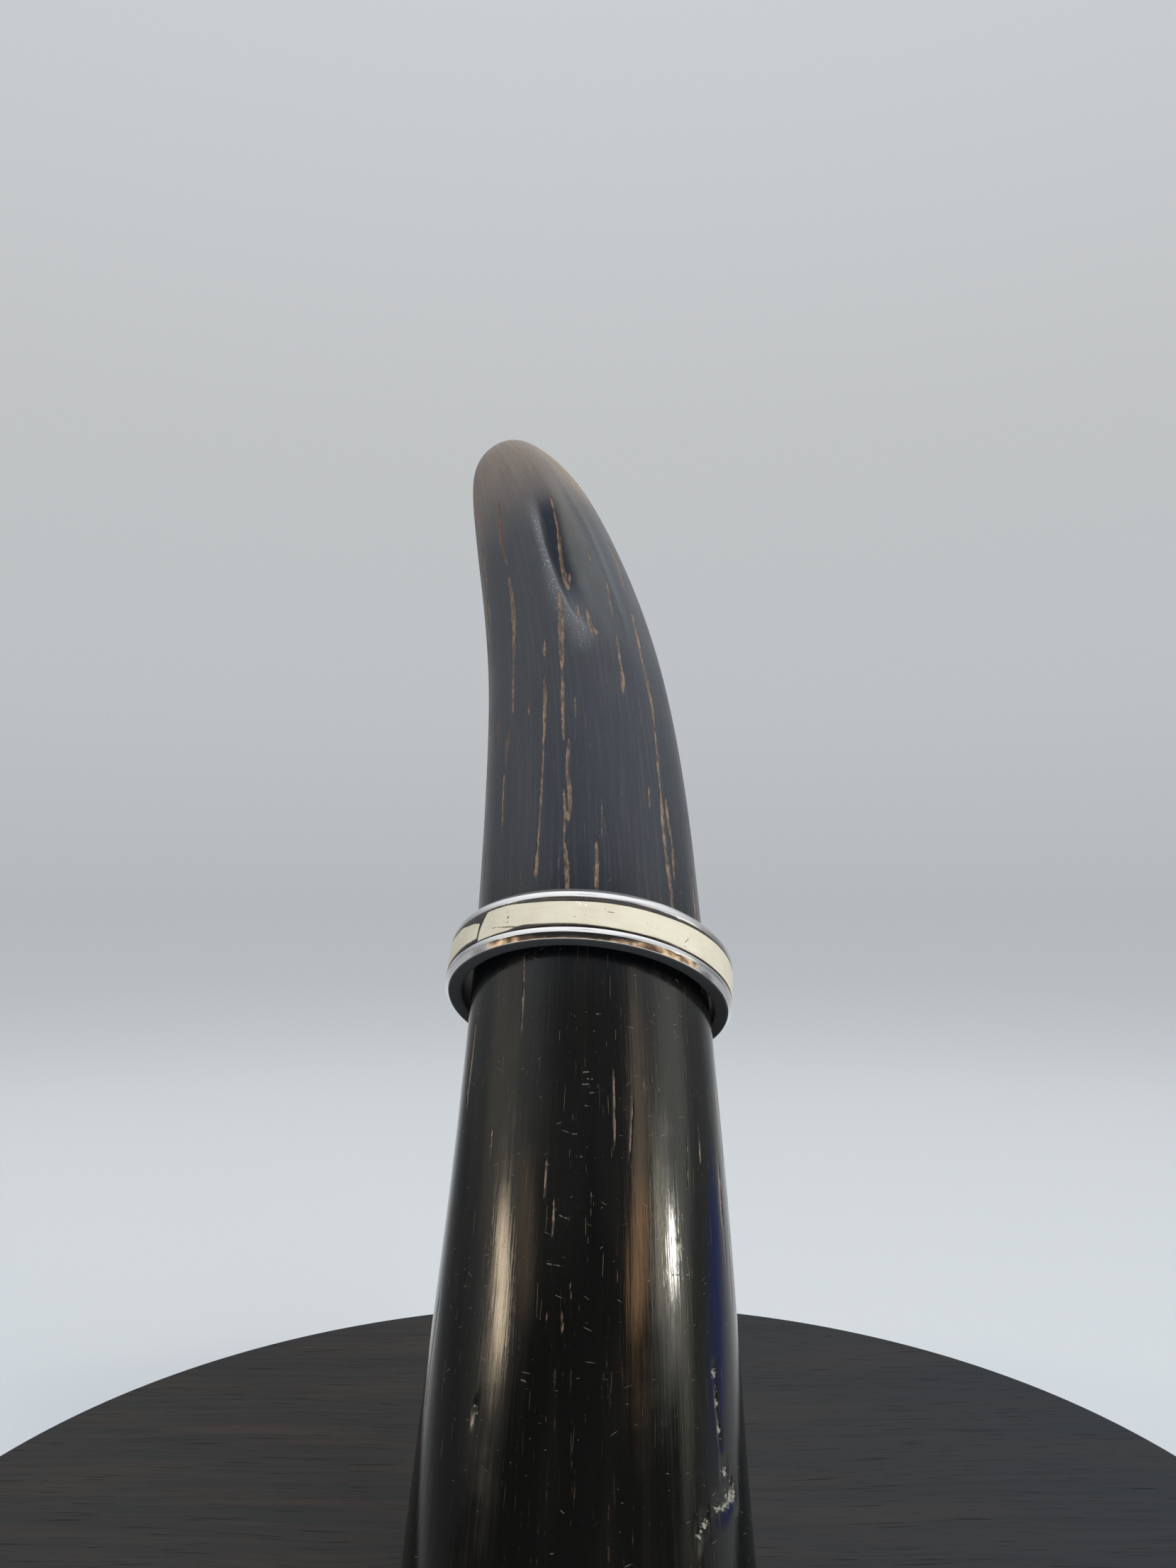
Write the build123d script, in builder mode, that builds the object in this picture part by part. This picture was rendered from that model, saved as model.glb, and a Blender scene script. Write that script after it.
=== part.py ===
from build123d import *
import math
import os

# An inlaid band ring resting on the horn of a small ring stand, in millimetres.
# +Z is up, the origin is the centre of the stand's underside, and the viewer is at -Y.

# Band ring
bore_diameter = 18.95
ring_wall = 1.37
ring_width = 4.0
bore_rounding = 0.2
bevel_depth = 0.3
bevel_width = 0.35
lower_land = 0.35
upper_land = 0.58
channel_depth = 0.7

# Inlay: angles run around the ring from its front, positive towards +X
bone_thickness = 0.5
bond_gap = 0.02
front_end_angle = -49.9
front_end_reach = 0.8
front_end_bow = 0.17
back_end_angle = -50.7
back_end_reach = 0.25
back_end_bow = 0.4
hidden_seam_angle = 152.0
hidden_seam_width = 0.15

# Horn
horn_foot_width = 24.5
horn_length = 99.5
horn_ovality = 0.962
horn_lean = 17.5
horn_foot_forward = 29.4
dent_length = 9.5
dent_bow = 2.0
dent_depth = 0.45
dent_drop = 11.8
dent_angle = 9.0

# Round stand base
base_diameter = 120.0
base_thickness = 12.0
base_rim_rounding = 1.5
base_foot_chamfer = 0.8

# Hidden pin between horn and base
pin_diameter = 5.0
pin_base_depth = 8.0
pin_horn_depth = 10.0
pin_fit_gap = 0.05
pin_chamfer = 0.5

# How the ring sits on the horn
ring_lean = 30.2
ring_side_lean = 5.1
seat_gap = 0.16

# Horn sections from foot to tip. "along" and "sway" are shares of the horn's length,
# "radius" is a share of half the foot's width.
HORN_SECTIONS = [
    {"along": 0.0, "radius": 1.000, "sway": -0.0050},
    {"along": 0.12, "radius": 0.915, "sway": -0.0058},
    {"along": 0.30, "radius": 0.824, "sway": -0.0009},
    {"along": 0.50, "radius": 0.725, "sway": 0.0012},
    {"along": 0.66, "radius": 0.656, "sway": -0.0028},
    {"along": 0.78, "radius": 0.582, "sway": -0.0145},
    {"along": 0.88, "radius": 0.493, "sway": -0.0370},
    {"along": 0.94, "radius": 0.407, "sway": -0.0560},
    {"along": 0.975, "radius": 0.308, "sway": -0.0714},
    {"along": 0.993, "radius": 0.202, "sway": -0.0808},
    {"along": 1.0, "radius": 0.029, "sway": -0.0856},
]

# Bone outlines. "turn" is a share of the plate's sweep from its visible end to the hidden seam,
# "under" and "over" are the dark margins below and above it as shares of the channel's width.
FRONT_BONE = [
    {"turn": -0.1, "under": 0.050, "over": 0.030},
    {"turn": 0.0, "under": 0.055, "over": 0.035},
    {"turn": 0.1, "under": 0.095, "over": 0.065},
    {"turn": 0.2, "under": 0.100, "over": 0.100},
    {"turn": 0.3, "under": 0.112, "over": 0.110},
    {"turn": 0.4, "under": 0.100, "over": 0.065},
    {"turn": 0.5, "under": 0.110, "over": 0.080},
    {"turn": 0.6, "under": 0.090, "over": 0.070},
    {"turn": 0.7, "under": 0.080, "over": 0.080},
    {"turn": 0.8, "under": 0.080, "over": 0.080},
    {"turn": 0.9, "under": 0.080, "over": 0.080},
    {"turn": 1.0, "under": 0.080, "over": 0.080},
]
BACK_BONE = [
    {"turn": -0.04, "under": 0.170, "over": 0.440},
    {"turn": 0.0, "under": 0.140, "over": 0.330},
    {"turn": 0.035, "under": 0.100, "over": 0.200},
    {"turn": 0.08, "under": 0.080, "over": 0.115},
    {"turn": 0.14, "under": 0.060, "over": 0.060},
    {"turn": 0.25, "under": 0.060, "over": 0.060},
    {"turn": 0.41, "under": 0.080, "over": 0.080},
    {"turn": 0.57, "under": 0.080, "over": 0.080},
    {"turn": 0.73, "under": 0.080, "over": 0.080},
    {"turn": 0.87, "under": 0.080, "over": 0.080},
    {"turn": 1.0, "under": 0.080, "over": 0.080},
]

# Sizes that follow from the ones above
bore_radius = bore_diameter / 2
outer_radius = bore_radius + ring_wall
side_radius = outer_radius - bevel_depth
channel_radius = outer_radius - channel_depth
channel_low = bevel_width + lower_land
channel_high = ring_width - bevel_width - upper_land
channel_width = channel_high - channel_low
foot_half_width = horn_foot_width / 2
base_radius = base_diameter / 2

# The horn's straight axis leans away from the viewer; "across" is square to it in the same plane
horn_along = Vector(0, math.sin(math.radians(horn_lean)), math.cos(math.radians(horn_lean)))
horn_across = Vector(0, math.cos(math.radians(horn_lean)), -math.sin(math.radians(horn_lean)))
horn_foot = Vector(0, -horn_foot_forward, base_thickness)


def horn_value(column, along):
    """A column of the section table at a share of the horn's length, between its rows."""
    for below, above in zip(HORN_SECTIONS, HORN_SECTIONS[1:]):
        if along <= above["along"]:
            break
    share = (along - below["along"]) / (above["along"] - below["along"])
    return below[column] + share * (above[column] - below[column])


def horn_point(along):
    """A point on the horn's swaying centre line."""
    sway = Vector(horn_value("sway", along) * horn_length, 0, 0)
    return horn_foot + horn_along * (along * horn_length) + sway


def horn_half_depth(distance):
    """The horn's half thickness, front to back, at a distance from its foot."""
    return horn_value("radius", distance / horn_length) * foot_half_width * horn_ovality


# The ring slides down the horn until the horn fills its tilted bore, front top and back bottom
lean = math.radians(ring_lean)
side_lean = math.radians(ring_side_lean)
upright = math.cos(side_lean)
ring_axis = Vector(math.sin(side_lean), upright * math.sin(lean), upright * math.cos(lean))
tilt = math.radians(ring_axis.get_angle(horn_along))
bore_reach = bore_radius * math.cos(tilt) - ring_width / 2 * math.sin(tilt) - seat_gap
contact_rise = bore_radius * math.sin(tilt) + ring_width / 2 * math.cos(tilt)

# Halving the stretch of horn that can hold the ring finds the seat
seat_low = contact_rise
seat_high = horn_length - contact_rise
for halving in range(20):
    seat = (seat_low + seat_high) / 2
    if horn_half_depth(seat - contact_rise) + horn_half_depth(seat + contact_rise) > 2 * bore_reach:
        seat_low = seat
    else:
        seat_high = seat

seat_shift = (horn_half_depth(seat - contact_rise) - horn_half_depth(seat + contact_rise)) / 2
ring_centre = horn_point(seat / horn_length) + horn_across * seat_shift
ring_origin = ring_centre - ring_axis * (ring_width / 2)
ring_turn_axis = Axis(ring_origin, ring_axis)
ring_back = (Vector(0, 1, 0) - ring_axis * ring_axis.Y).normalized()
ring_right = ring_back.cross(ring_axis)


def ring_radius_direction(angle):
    """The outward direction at an angle around the ring."""
    turn = math.radians(angle)
    return ring_right * math.sin(turn) - ring_back * math.cos(turn)


def ring_section_plane(angle):
    """The plane of a radial section: x runs outward from the ring's axis and y up along it."""
    outward = ring_radius_direction(angle)
    return Plane(origin=ring_origin, x_dir=outward, z_dir=outward.cross(ring_axis))


def bone_plate(rows, start, end, reach, bow, grow):
    """A curved bone plate from its visible end to the hidden seam, grown all round by a bond gap."""
    side = math.copysign(1, end - start)
    end = end + side * math.degrees(grow / outer_radius)
    outward = ring_radius_direction(start)
    face_plane = Plane(
        origin=ring_origin + outward * outer_radius, x_dir=ring_axis.cross(outward), z_dir=outward
    )
    with BuildPart() as plate:
        for row in rows:
            low = channel_low + channel_width * row["under"] - grow
            high = channel_high - channel_width * row["over"] + grow
            with BuildSketch(ring_section_plane(start + row["turn"] * (end - start))):
                with Locations((outer_radius, (low + high) / 2)):
                    Rectangle(4 * channel_depth, high - low)
        loft()
        with BuildSketch(ring_section_plane(0)):
            with Locations((outer_radius - bone_thickness - grow, 0)):
                Rectangle(bone_thickness + grow, ring_width, align=(Align.MIN, Align.MIN))
        revolve(axis=ring_turn_axis, mode=Mode.INTERSECT)
        with BuildSketch(face_plane):
            shift = -side * grow
            far = -side * channel_width * 2
            with BuildLine():
                ThreePointArc(
                    (shift, channel_low),
                    (shift + reach * bow, (channel_low + channel_high) / 2),
                    (shift + reach, channel_high),
                )
                Polyline(
                    (shift + reach, channel_high),
                    (shift + reach, ring_width),
                    (far, ring_width),
                    (far, 0),
                    (shift, 0),
                    (shift, channel_low),
                )
            make_face()
        extrude(amount=channel_width, both=True, mode=Mode.SUBTRACT)
    return plate.part


# The two bone plates meet at a plain seam behind the horn
seam_turn = math.degrees(hidden_seam_width / 2 / outer_radius)
front_plate = (FRONT_BONE, front_end_angle, hidden_seam_angle - seam_turn, front_end_reach, front_end_bow)
back_plate = (BACK_BONE, back_end_angle, hidden_seam_angle + seam_turn - 360, back_end_reach, back_end_bow)

# Metal band with bevelled edges and an open channel for the inlay
with BuildPart() as ring_band:
    with BuildSketch(ring_section_plane(0)):
        with BuildLine():
            Polyline(
                (bore_radius, 0),
                (side_radius, 0),
                (outer_radius, bevel_width),
                (outer_radius, channel_low),
                (channel_radius, channel_low),
                (channel_radius, channel_high),
                (outer_radius, channel_high),
                (outer_radius, ring_width - bevel_width),
                (side_radius, ring_width),
                (bore_radius, ring_width),
                close=True,
            )
        make_face()
    revolve(axis=ring_turn_axis)
    bore_edges = ring_band.edges().filter_by(GeomType.CIRCLE).group_by(SortBy.RADIUS)[0]
    fillet(bore_edges, radius=bore_rounding)

# Dark resin bed that fills the channel around the bone
with BuildPart() as inlay_resin:
    with BuildSketch(ring_section_plane(0)):
        with Locations((channel_radius + bond_gap, channel_low + bond_gap)):
            Rectangle(channel_depth - bond_gap, channel_width - 2 * bond_gap, align=(Align.MIN, Align.MIN))
    revolve(axis=ring_turn_axis)
    add(bone_plate(*front_plate, bond_gap), mode=Mode.SUBTRACT)
    add(bone_plate(*back_plate, bond_gap), mode=Mode.SUBTRACT)

with BuildPart() as bone_front:
    add(bone_plate(*front_plate, 0))

with BuildPart() as bone_back:
    add(bone_plate(*back_plate, 0))

# A shallow spindle-shaped dent sinks into the horn's front near its tip
dent_middle = 1 - dent_drop / horn_length
dent_half_share = dent_length / 2 / horn_length
dent_top = horn_point(dent_middle + dent_half_share)
dent_heading = (dent_top - horn_point(dent_middle - dent_half_share)).normalized()
dent_side = horn_across.cross(dent_heading).normalized()
dent_front = dent_heading.cross(dent_side).normalized()
dent_turn = math.radians(dent_angle)
dent_outward = dent_side * math.sin(dent_turn) - dent_front * math.cos(dent_turn)
dent_surface = horn_value("radius", dent_middle) * foot_half_width
dent_chord = dent_length / math.sqrt(dent_depth / dent_bow)
dent_centre = horn_point(dent_middle) + dent_outward * (dent_surface + dent_bow - dent_depth)
dent_plane = Plane(origin=dent_centre, x_dir=dent_heading, z_dir=dent_heading.cross(dent_outward))

# Tapered horn that curves sideways towards a rounded tip
with BuildPart() as horn:
    with BuildSketch(Plane(origin=horn_point(0), x_dir=(0, 1, 0), z_dir=(0, 0, 1))):
        Ellipse(foot_half_width * horn_ovality / math.cos(math.radians(horn_lean)), foot_half_width)
    for index, row in enumerate(HORN_SECTIONS[1:], start=1):
        here = horn_point(row["along"])
        before = horn_point(HORN_SECTIONS[index - 1]["along"])
        after = horn_point(HORN_SECTIONS[min(index + 1, len(HORN_SECTIONS) - 1)]["along"])
        with BuildSketch(Plane(origin=here, x_dir=horn_across, z_dir=after - before)):
            Ellipse(row["radius"] * foot_half_width * horn_ovality, row["radius"] * foot_half_width)
    loft()
    with BuildSketch(dent_plane):
        with BuildLine():
            ThreePointArc((-dent_chord / 2, 0), (0, dent_bow), (dent_chord / 2, 0))
            Line((dent_chord / 2, 0), (-dent_chord / 2, 0))
        make_face()
    revolve(axis=Axis(dent_centre, dent_heading), mode=Mode.SUBTRACT)
    with BuildSketch(Plane.XY.offset(base_thickness)):
        with Locations((horn_foot.X, horn_foot.Y)):
            Circle(pin_diameter / 2 + pin_fit_gap)
    extrude(amount=pin_horn_depth + pin_fit_gap, mode=Mode.SUBTRACT)

# Round wooden base with a blind hole for the pin
with BuildPart() as stand_base:
    with BuildSketch():
        Circle(base_radius)
    extrude(amount=base_thickness)
    fillet(stand_base.faces().sort_by(Axis.Z)[-1].edges(), radius=base_rim_rounding)
    chamfer(stand_base.faces().sort_by(Axis.Z)[0].edges(), length=base_foot_chamfer)
    with BuildSketch(Plane.XY.offset(base_thickness)):
        with Locations((horn_foot.X, horn_foot.Y)):
            Circle(pin_diameter / 2 + pin_fit_gap)
    extrude(amount=-pin_base_depth - pin_fit_gap, mode=Mode.SUBTRACT)

# Hidden pin that fixes the horn to the base
with BuildPart() as fixing_pin:
    with BuildSketch(Plane.XY.offset(base_thickness - pin_base_depth)):
        with Locations((horn_foot.X, horn_foot.Y)):
            Circle(pin_diameter / 2)
    extrude(amount=pin_base_depth + pin_horn_depth)
    chamfer(fixing_pin.edges().filter_by(GeomType.CIRCLE), length=pin_chamfer)

os.makedirs("parts", exist_ok=True)
pieces = {
    "ring_band": ring_band,
    "inlay_resin": inlay_resin,
    "bone_front": bone_front,
    "bone_back": bone_back,
    "horn": horn,
    "stand_base": stand_base,
    "fixing_pin": fixing_pin,
}
for name, piece in pieces.items():
    piece.part.label = name
    export_step(piece.part, f"parts/{name}.step")
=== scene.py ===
import math
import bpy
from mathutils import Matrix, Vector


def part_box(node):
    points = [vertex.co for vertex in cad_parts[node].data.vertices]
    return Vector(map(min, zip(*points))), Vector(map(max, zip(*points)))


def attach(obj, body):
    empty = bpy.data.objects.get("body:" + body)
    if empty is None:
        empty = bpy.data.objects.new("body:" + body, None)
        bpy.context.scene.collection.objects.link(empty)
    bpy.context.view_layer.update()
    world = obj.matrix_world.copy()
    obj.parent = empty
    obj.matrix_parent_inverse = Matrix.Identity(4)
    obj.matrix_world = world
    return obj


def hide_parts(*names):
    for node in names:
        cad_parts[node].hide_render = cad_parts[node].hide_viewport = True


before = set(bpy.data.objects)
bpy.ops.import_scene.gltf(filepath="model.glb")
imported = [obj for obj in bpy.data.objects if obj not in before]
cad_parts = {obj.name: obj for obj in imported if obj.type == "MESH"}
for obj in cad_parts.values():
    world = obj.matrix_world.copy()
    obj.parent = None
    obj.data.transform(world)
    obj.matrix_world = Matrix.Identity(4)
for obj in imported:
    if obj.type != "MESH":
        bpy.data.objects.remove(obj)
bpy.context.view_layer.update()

from types import SimpleNamespace

import bpy
import numpy as np
from bpy.props import FloatProperty, FloatVectorProperty, IntProperty, PointerProperty
from mathutils import Matrix, Vector

# A bone inlaid band ring on its horn stand, dressed around the packed CAD frame.
# Meshes are in metres in the frame's axes. Tables and surface patterns are in millimetres.

bl_info = {
    "name": "Inlay ring on a horn stand",
    "version": (1, 0, 0),
    "blender": (4, 5, 0),
    "location": "3D view > Sidebar > Inlay ring",
    "description": "Builds a bone inlaid band ring, its horn stand and a plain studio",
    "category": "Add Mesh",
}

MM = 0.001
RING_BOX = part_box("ring_band")
BASE_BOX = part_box("stand_base")

# The ring's tilt on the horn, back and to the side, in degrees
RING_LEAN = 30.2
RING_SIDE_LEAN = 5.1
# Where the ring sits along the horn
RING_SEAT = 49.5
# Radius of the straight barrel on which the horn's patterns lie
BARREL = 9.0
# How far the mirrored lamps stand from what they light, in metres
LAMP_DISTANCE = 0.6

# Fineness of the meshes: a bone plate's steps along and across it, the resin's steps across its surface,
# the places from which the horn's rows are chosen, and the steps round the base and round the pin's hole
PLATE_STEPS = 560
PLATE_ROWS = 26
RESIN_ROWS = 15
HORN_PLACES = 4000
BASE_STEPS = 360
HOLE_STEPS = 64
# How many rings of points the horn's foot has below its skin
FOOT_RINGS = 3
# How many seeded fibres the horn's sides and back have
HIDDEN_FIBRES = 95

# Horn sections from foot to tip: share of the length, share of half the foot's width,
# and the centre line's sideways sway as a share of the length
HORN_SECTIONS = [
    (0.0, 1.000, -0.0050),
    (0.12, 0.915, -0.0058),
    (0.30, 0.824, -0.0009),
    (0.50, 0.725, 0.0012),
    (0.66, 0.656, -0.0028),
    (0.78, 0.582, -0.0145),
    (0.88, 0.493, -0.0370),
    (0.94, 0.407, -0.0560),
    (0.975, 0.308, -0.0714),
    (0.993, 0.202, -0.0808),
    (1.0, 0.029, -0.0856),
]

# Bone outlines: share of the sweep from the visible end, and the dark margins below and
# above the plate as shares of the channel's width
LONG_BONE = [
    (-0.1, 0.025, 0.066),
    (0.0, 0.025, 0.066),
    (0.034, 0.033, 0.057),
    (0.064, 0.049, 0.070),
    (0.079, 0.066, 0.094),
    (0.094, 0.118, 0.111),
    (0.138, 0.119, 0.139),
    (0.173, 0.107, 0.148),
    (0.222, 0.094, 0.143),
    (0.272, 0.074, 0.131),
    (0.321, 0.066, 0.123),
    (0.371, 0.078, 0.115),
    (0.42, 0.066, 0.090),
    (0.47, 0.061, 0.070),
    (0.52, 0.061, 0.049),
    (0.57, 0.078, 0.049),
    (0.65, 0.078, 0.057),
    (1.0, 0.080, 0.080),
]
SHORT_BONE = [
    (-0.04, 0.148, 0.36),
    (0.0, 0.148, 0.344),
    (0.008, 0.148, 0.311),
    (0.021, 0.143, 0.254),
    (0.04, 0.148, 0.209),
    (0.059, 0.143, 0.172),
    (0.078, 0.135, 0.111),
    (0.097, 0.111, 0.090),
    (0.123, 0.102, 0.090),
    (0.154, 0.102, 0.066),
    (0.25, 0.090, 0.070),
    (1.0, 0.080, 0.080),
]

# Marks on the bone: half width in millimetres, and points of angle in degrees and height. The glints are
# painted white highlights
BONE_CRACKS = [
    (0.022, [(-43.0, 1.47), (-41.0, 1.44), (-38.6, 1.38), (-37.0, 1.30)]),
    (0.045, [(-37.6, 1.30), (-36.0, 1.24), (-34.0, 1.20), (-32.0, 1.11), (-30.2, 1.03)]),
    (0.020, [(-32.6, 1.95), (-31.8, 1.74)]),
    (0.022, [(35.4, 1.46), (36.4, 1.72), (37.4, 1.98)]),
    (0.016, [(34.6, 1.12), (36.0, 1.20)]),
    (0.009, [(2.5, 2.17), (9.0, 2.11)]),
    (0.009, [(18.0, 1.95), (21.0, 1.72)]),
    (0.009, [(21.5, 1.86), (24.5, 1.62)]),
    (0.018, [(62.2, 1.94), (63.2, 2.10)]),
]
BONE_SPECKS = [
    (0.042, [(-35.9, 2.48)]),
    (0.045, [(-35.4, 2.10), (-34.6, 1.94)]),
    (0.028, [(-35.2, 2.02), (-35.5, 1.86)]),
    (0.052, [(-34.9, 1.59)]),
    (0.024, [(-36.0, 1.62)]),
    (0.032, [(-4.6, 1.75)]),
    (0.024, [(-8.6, 1.56), (-8.0, 1.57)]),
    (0.022, [(2.2, 2.34), (3.2, 2.33)]),
    (0.020, [(14.5, 2.0)]),
    (0.020, [(4.0, 1.2)]),
    (0.022, [(44.0, 2.3)]),
]
# Painted highlights: white dots where light glints on the bone's upper edge
BONE_PAINTED_GLINTS = [
    (0.055, [(-11.0, 2.82)]),
    (0.050, [(-8.2, 2.72)]),
    (0.060, [(-6.8, 2.60)]),
    (0.060, [(-4.6, 2.54)]),
    (0.030, [(-7.4, 2.76)]),
]

# Fibres that show on the horn: width in millimetres, strength, redness, and points of
# distance along the horn in millimetres and angle from its front in degrees
HORN_FIBRES = [
    (0.30, 0.95, 0.7, [(91.4, -33.8), (87.6, -39.5), (85.1, -38.0)]),
    (0.34, 1.00, 0.2, [(83.5, -38.2), (82.4, -38.5), (79.9, -39.0), (77.1, -41.2), (75.3, -42.5)]),
    (0.22, 0.75, 0.2, [(75.3, -42.5), (73.9, -43.2), (70.2, -44.2)]),
    (0.30, 1.00, 0.6, [(68.8, -47.2), (67.1, -49.0), (66.2, -49.5)]),
    (0.20, 0.80, 0.4, [(65.1, -50.8), (62.7, -51.0), (60.3, -51.0)]),
    (0.16, 0.80, 0.1, [(70.4, -32.0), (69.3, -31.8)]),
    (0.20, 0.75, 0.4, [(76.0, -18.5), (74.5, -19.5)]),
    (0.26, 0.90, 0.3, [(72.4, -20.8), (70.6, -21.0), (67.8, -22.0), (66.8, -22.8)]),
    (0.17, 0.80, 0.0, [(66.2, -22.8), (63.5, -23.8), (60.9, -24.8), (58.9, -25.5), (57.2, -26.0)]),
    (0.26, 0.90, 0.2, [(57.2, -26.0), (55.3, -26.8)]),
    (0.22, 0.80, 0.3, [(90.2, 13.2), (89.1, 12.8), (87.0, 11.5)]),
    (0.34, 1.00, 0.2, [(87.0, 11.5), (84.4, 7.0), (82.8, 4.5)]),
    (0.42, 1.00, 0.1, [(83.3, 5.8), (82.2, 4.8), (81.1, 5.0)]),
    (0.30, 0.60, 0.2, [(82.8, 10.2), (81.7, 7.5)]),
    (0.36, 1.00, 0.1, [(80.1, -3.7), (77.6, -6.0), (75.5, -7.8), (73.1, -9.2)]),
    (0.22, 0.90, 0.2, [(73.1, -9.2), (70.8, -10.0), (69.3, -10.8), (66.7, -11.0)]),
    (0.20, 1.00, 0.1, [(66.5, -8.0), (65.0, -9.2), (64.0, -10.0)]),
    (0.24, 1.00, 0.1, [(64.0, -9.8), (62.4, -8.8), (60.3, -8.8), (59.5, -10.8)]),
    (0.17, 0.90, 0.1, [(62.4, -12.0), (60.1, -11.0), (58.1, -12.2)]),
    (0.28, 1.00, 0.1, [(57.5, -11.5), (56.4, -10.8), (53.9, -10.2)]),
    (0.14, 0.75, 0.2, [(70.2, -3.2), (68.5, -3.7)]),
    (0.16, 0.75, 0.2, [(79.5, 8.5), (78.0, 6.5), (76.5, 5.0)]),
    (0.18, 0.50, 0.2, [(84.7, 27.8), (82.9, 25.5)]),
    (0.30, 0.90, 0.2, [(78.6, 13.8), (77.1, 12.8), (75.7, 12.2)]),
    (0.34, 0.80, 0.2, [(76.7, 12.5), (76.1, 15.5), (75.8, 16.0)]),
    (0.20, 0.60, 0.3, [(81.2, 32.2), (78.4, 29.8), (77.8, 29.2)]),
    (0.20, 0.70, 0.3, [(76.0, 28.5), (73.9, 27.2), (72.6, 27.2)]),
    (0.30, 1.00, 0.2, [(72.6, 27.2), (70.8, 26.0)]),
    (0.42, 0.80, 0.3, [(85.8, 54.2), (83.9, 56.0), (81.3, 51.0)]),
    (0.34, 0.80, 0.3, [(78.7, 49.2), (76.3, 47.8), (74.2, 46.2)]),
    (0.30, 0.95, 0.4, [(74.2, 46.2), (72.0, 46.8), (70.0, 46.8), (68.3, 46.0)]),
    (0.22, 0.80, 0.2, [(68.3, 46.0), (66.2, 44.8), (64.3, 44.0), (62.2, 43.8)]),
    (0.30, 1.00, 0.2, [(62.2, 43.8), (60.4, 42.8), (58.4, 42.5)]),
    (0.30, 1.00, 0.1, [(59.0, 43.0), (56.7, 43.5), (55.0, 44.2), (53.2, 44.5)]),
    (0.24, 1.00, 0.2, [(62.1, 47.2), (60.1, 47.8), (58.6, 48.8)]),
    (0.26, 0.90, 0.3, [(58.6, 48.8), (55.8, 47.8)]),
    (0.20, 0.80, 0.4, [(62.7, 35.2), (61.0, 35.0)]),
    (0.24, 1.00, 0.1, [(57.9, 4.2), (56.3, 4.2), (54.1, 3.5)]),
    (0.10, 0.60, 0.2, [(61.8, 8.0), (58.0, 6.8)]),
    (0.36, 1.00, 0.3, [(88.7, -66.0), (86.9, -67.8), (85.1, -67.0)]),
    (0.32, 1.00, 0.3, [(83.1, -69.0), (80.4, -68.2)]),
    (0.26, 0.90, 0.5, [(70.8, -60.3), (68.6, -60.5)]),
    (0.24, 0.80, 0.5, [(59.3, -68.8), (56.9, -67.8)]),
    (0.12, 0.80, 0.2, [(50.0, -31.3), (46.4, -30.5), (43.9, -30.5)]),
    (0.08, 0.40, 0.5, [(42.8, -36.0), (39.5, -35.5)]),
    (0.13, 0.70, 0.7, [(37.8, -42.2), (35.7, -41.8)]),
    (0.07, 0.30, 0.5, [(47.8, -18.2), (43.9, -18.2)]),
    (0.11, 0.80, 0.2, [(41.6, 9.8), (39.4, 10.0), (36.5, 10.2)]),
    (0.11, 0.60, 0.3, [(39.7, 17.8), (36.1, 16.0)]),
    (0.10, 0.50, 0.3, [(41.7, 22.8), (39.0, 22.8)]),
    (0.08, 0.50, 0.3, [(42.1, 29.0), (40.3, 29.8)]),
    (0.09, 0.50, 0.1, [(37.5, 42.8), (34.0, 41.8)]),
    (0.11, 0.70, 0.1, [(38.9, 50.8), (35.7, 50.3)]),
    (0.11, 0.70, 0.1, [(35.8, -16.2), (33.2, -16.2)]),
    (0.11, 0.70, 0.1, [(33.2, -12.5), (30.7, -12.5)]),
    (0.08, 0.40, 0.1, [(33.8, 1.2), (32.0, 1.2)]),
    (0.10, 0.50, 0.7, [(28.6, -5.5), (27.4, -5.0)]),
    (0.13, 0.80, 0.5, [(26.7, -8.0), (25.2, -7.3)]),
    (0.12, 0.50, 0.5, [(26.6, -13.2), (25.9, -12.8)]),
    (0.10, 0.40, 0.6, [(24.2, 12.8), (22.5, 13.2)]),
    (0.08, 0.35, 0.3, [(23.4, -8.2), (21.9, -8.0)]),
]

# Pale chips low on the horn, given as the fibres are
HORN_CHIPS = [
    (0.60, 1.0, 0.0, [(23.4, 50.8), (23.0, 51.2)]),
    (0.50, 0.8, 0.0, [(22.0, 51.2), (21.2, 51.8)]),
    (0.45, 0.8, 0.0, [(20.4, 51.6), (19.6, 52.4)]),
    (0.75, 1.0, 0.0, [(17.9, 53.0), (17.8, 54.5)]),
    (1.10, 1.0, 0.0, [(16.7, 59.0), (16.4, 55.5)]),
    (0.90, 0.9, 0.0, [(16.3, 55.5), (16.0, 51.0)]),
    (0.60, 0.9, 0.0, [(15.9, 50.0), (15.6, 46.0)]),
    (0.55, 1.0, 0.0, [(15.5, 43.5), (15.1, 41.0)]),
    (0.50, 0.9, 0.0, [(15.0, 39.8), (14.6, 38.6)]),
    (0.55, 0.8, 0.0, [(21.2, -37.0), (20.6, -38.0)]),
]

# Short strokes across the horn's lower front: middle across, distance along, half length, slope
HORN_STROKES = [
    (-1.30, 32.15, 0.34, -0.42),
    (-1.74, 29.30, 0.50, -0.18),
    (-3.06, 22.65, 0.16, -0.40),
    (-0.20, 41.30, 0.28, 0.05),
    (0.02, 40.85, 0.22, -0.08),
    (-0.24, 40.50, 0.25, 0.06),
    (0.10, 39.95, 0.18, 0.02),
    (-0.05, 39.10, 0.26, -0.10),
    (-0.90, 37.30, 0.20, 0.10),
    (-0.55, 35.90, 0.22, -0.15),
    (5.30, 28.9, 0.55, 0.05),
    (0.60, 45.2, 0.20, 0.06),
]

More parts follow.
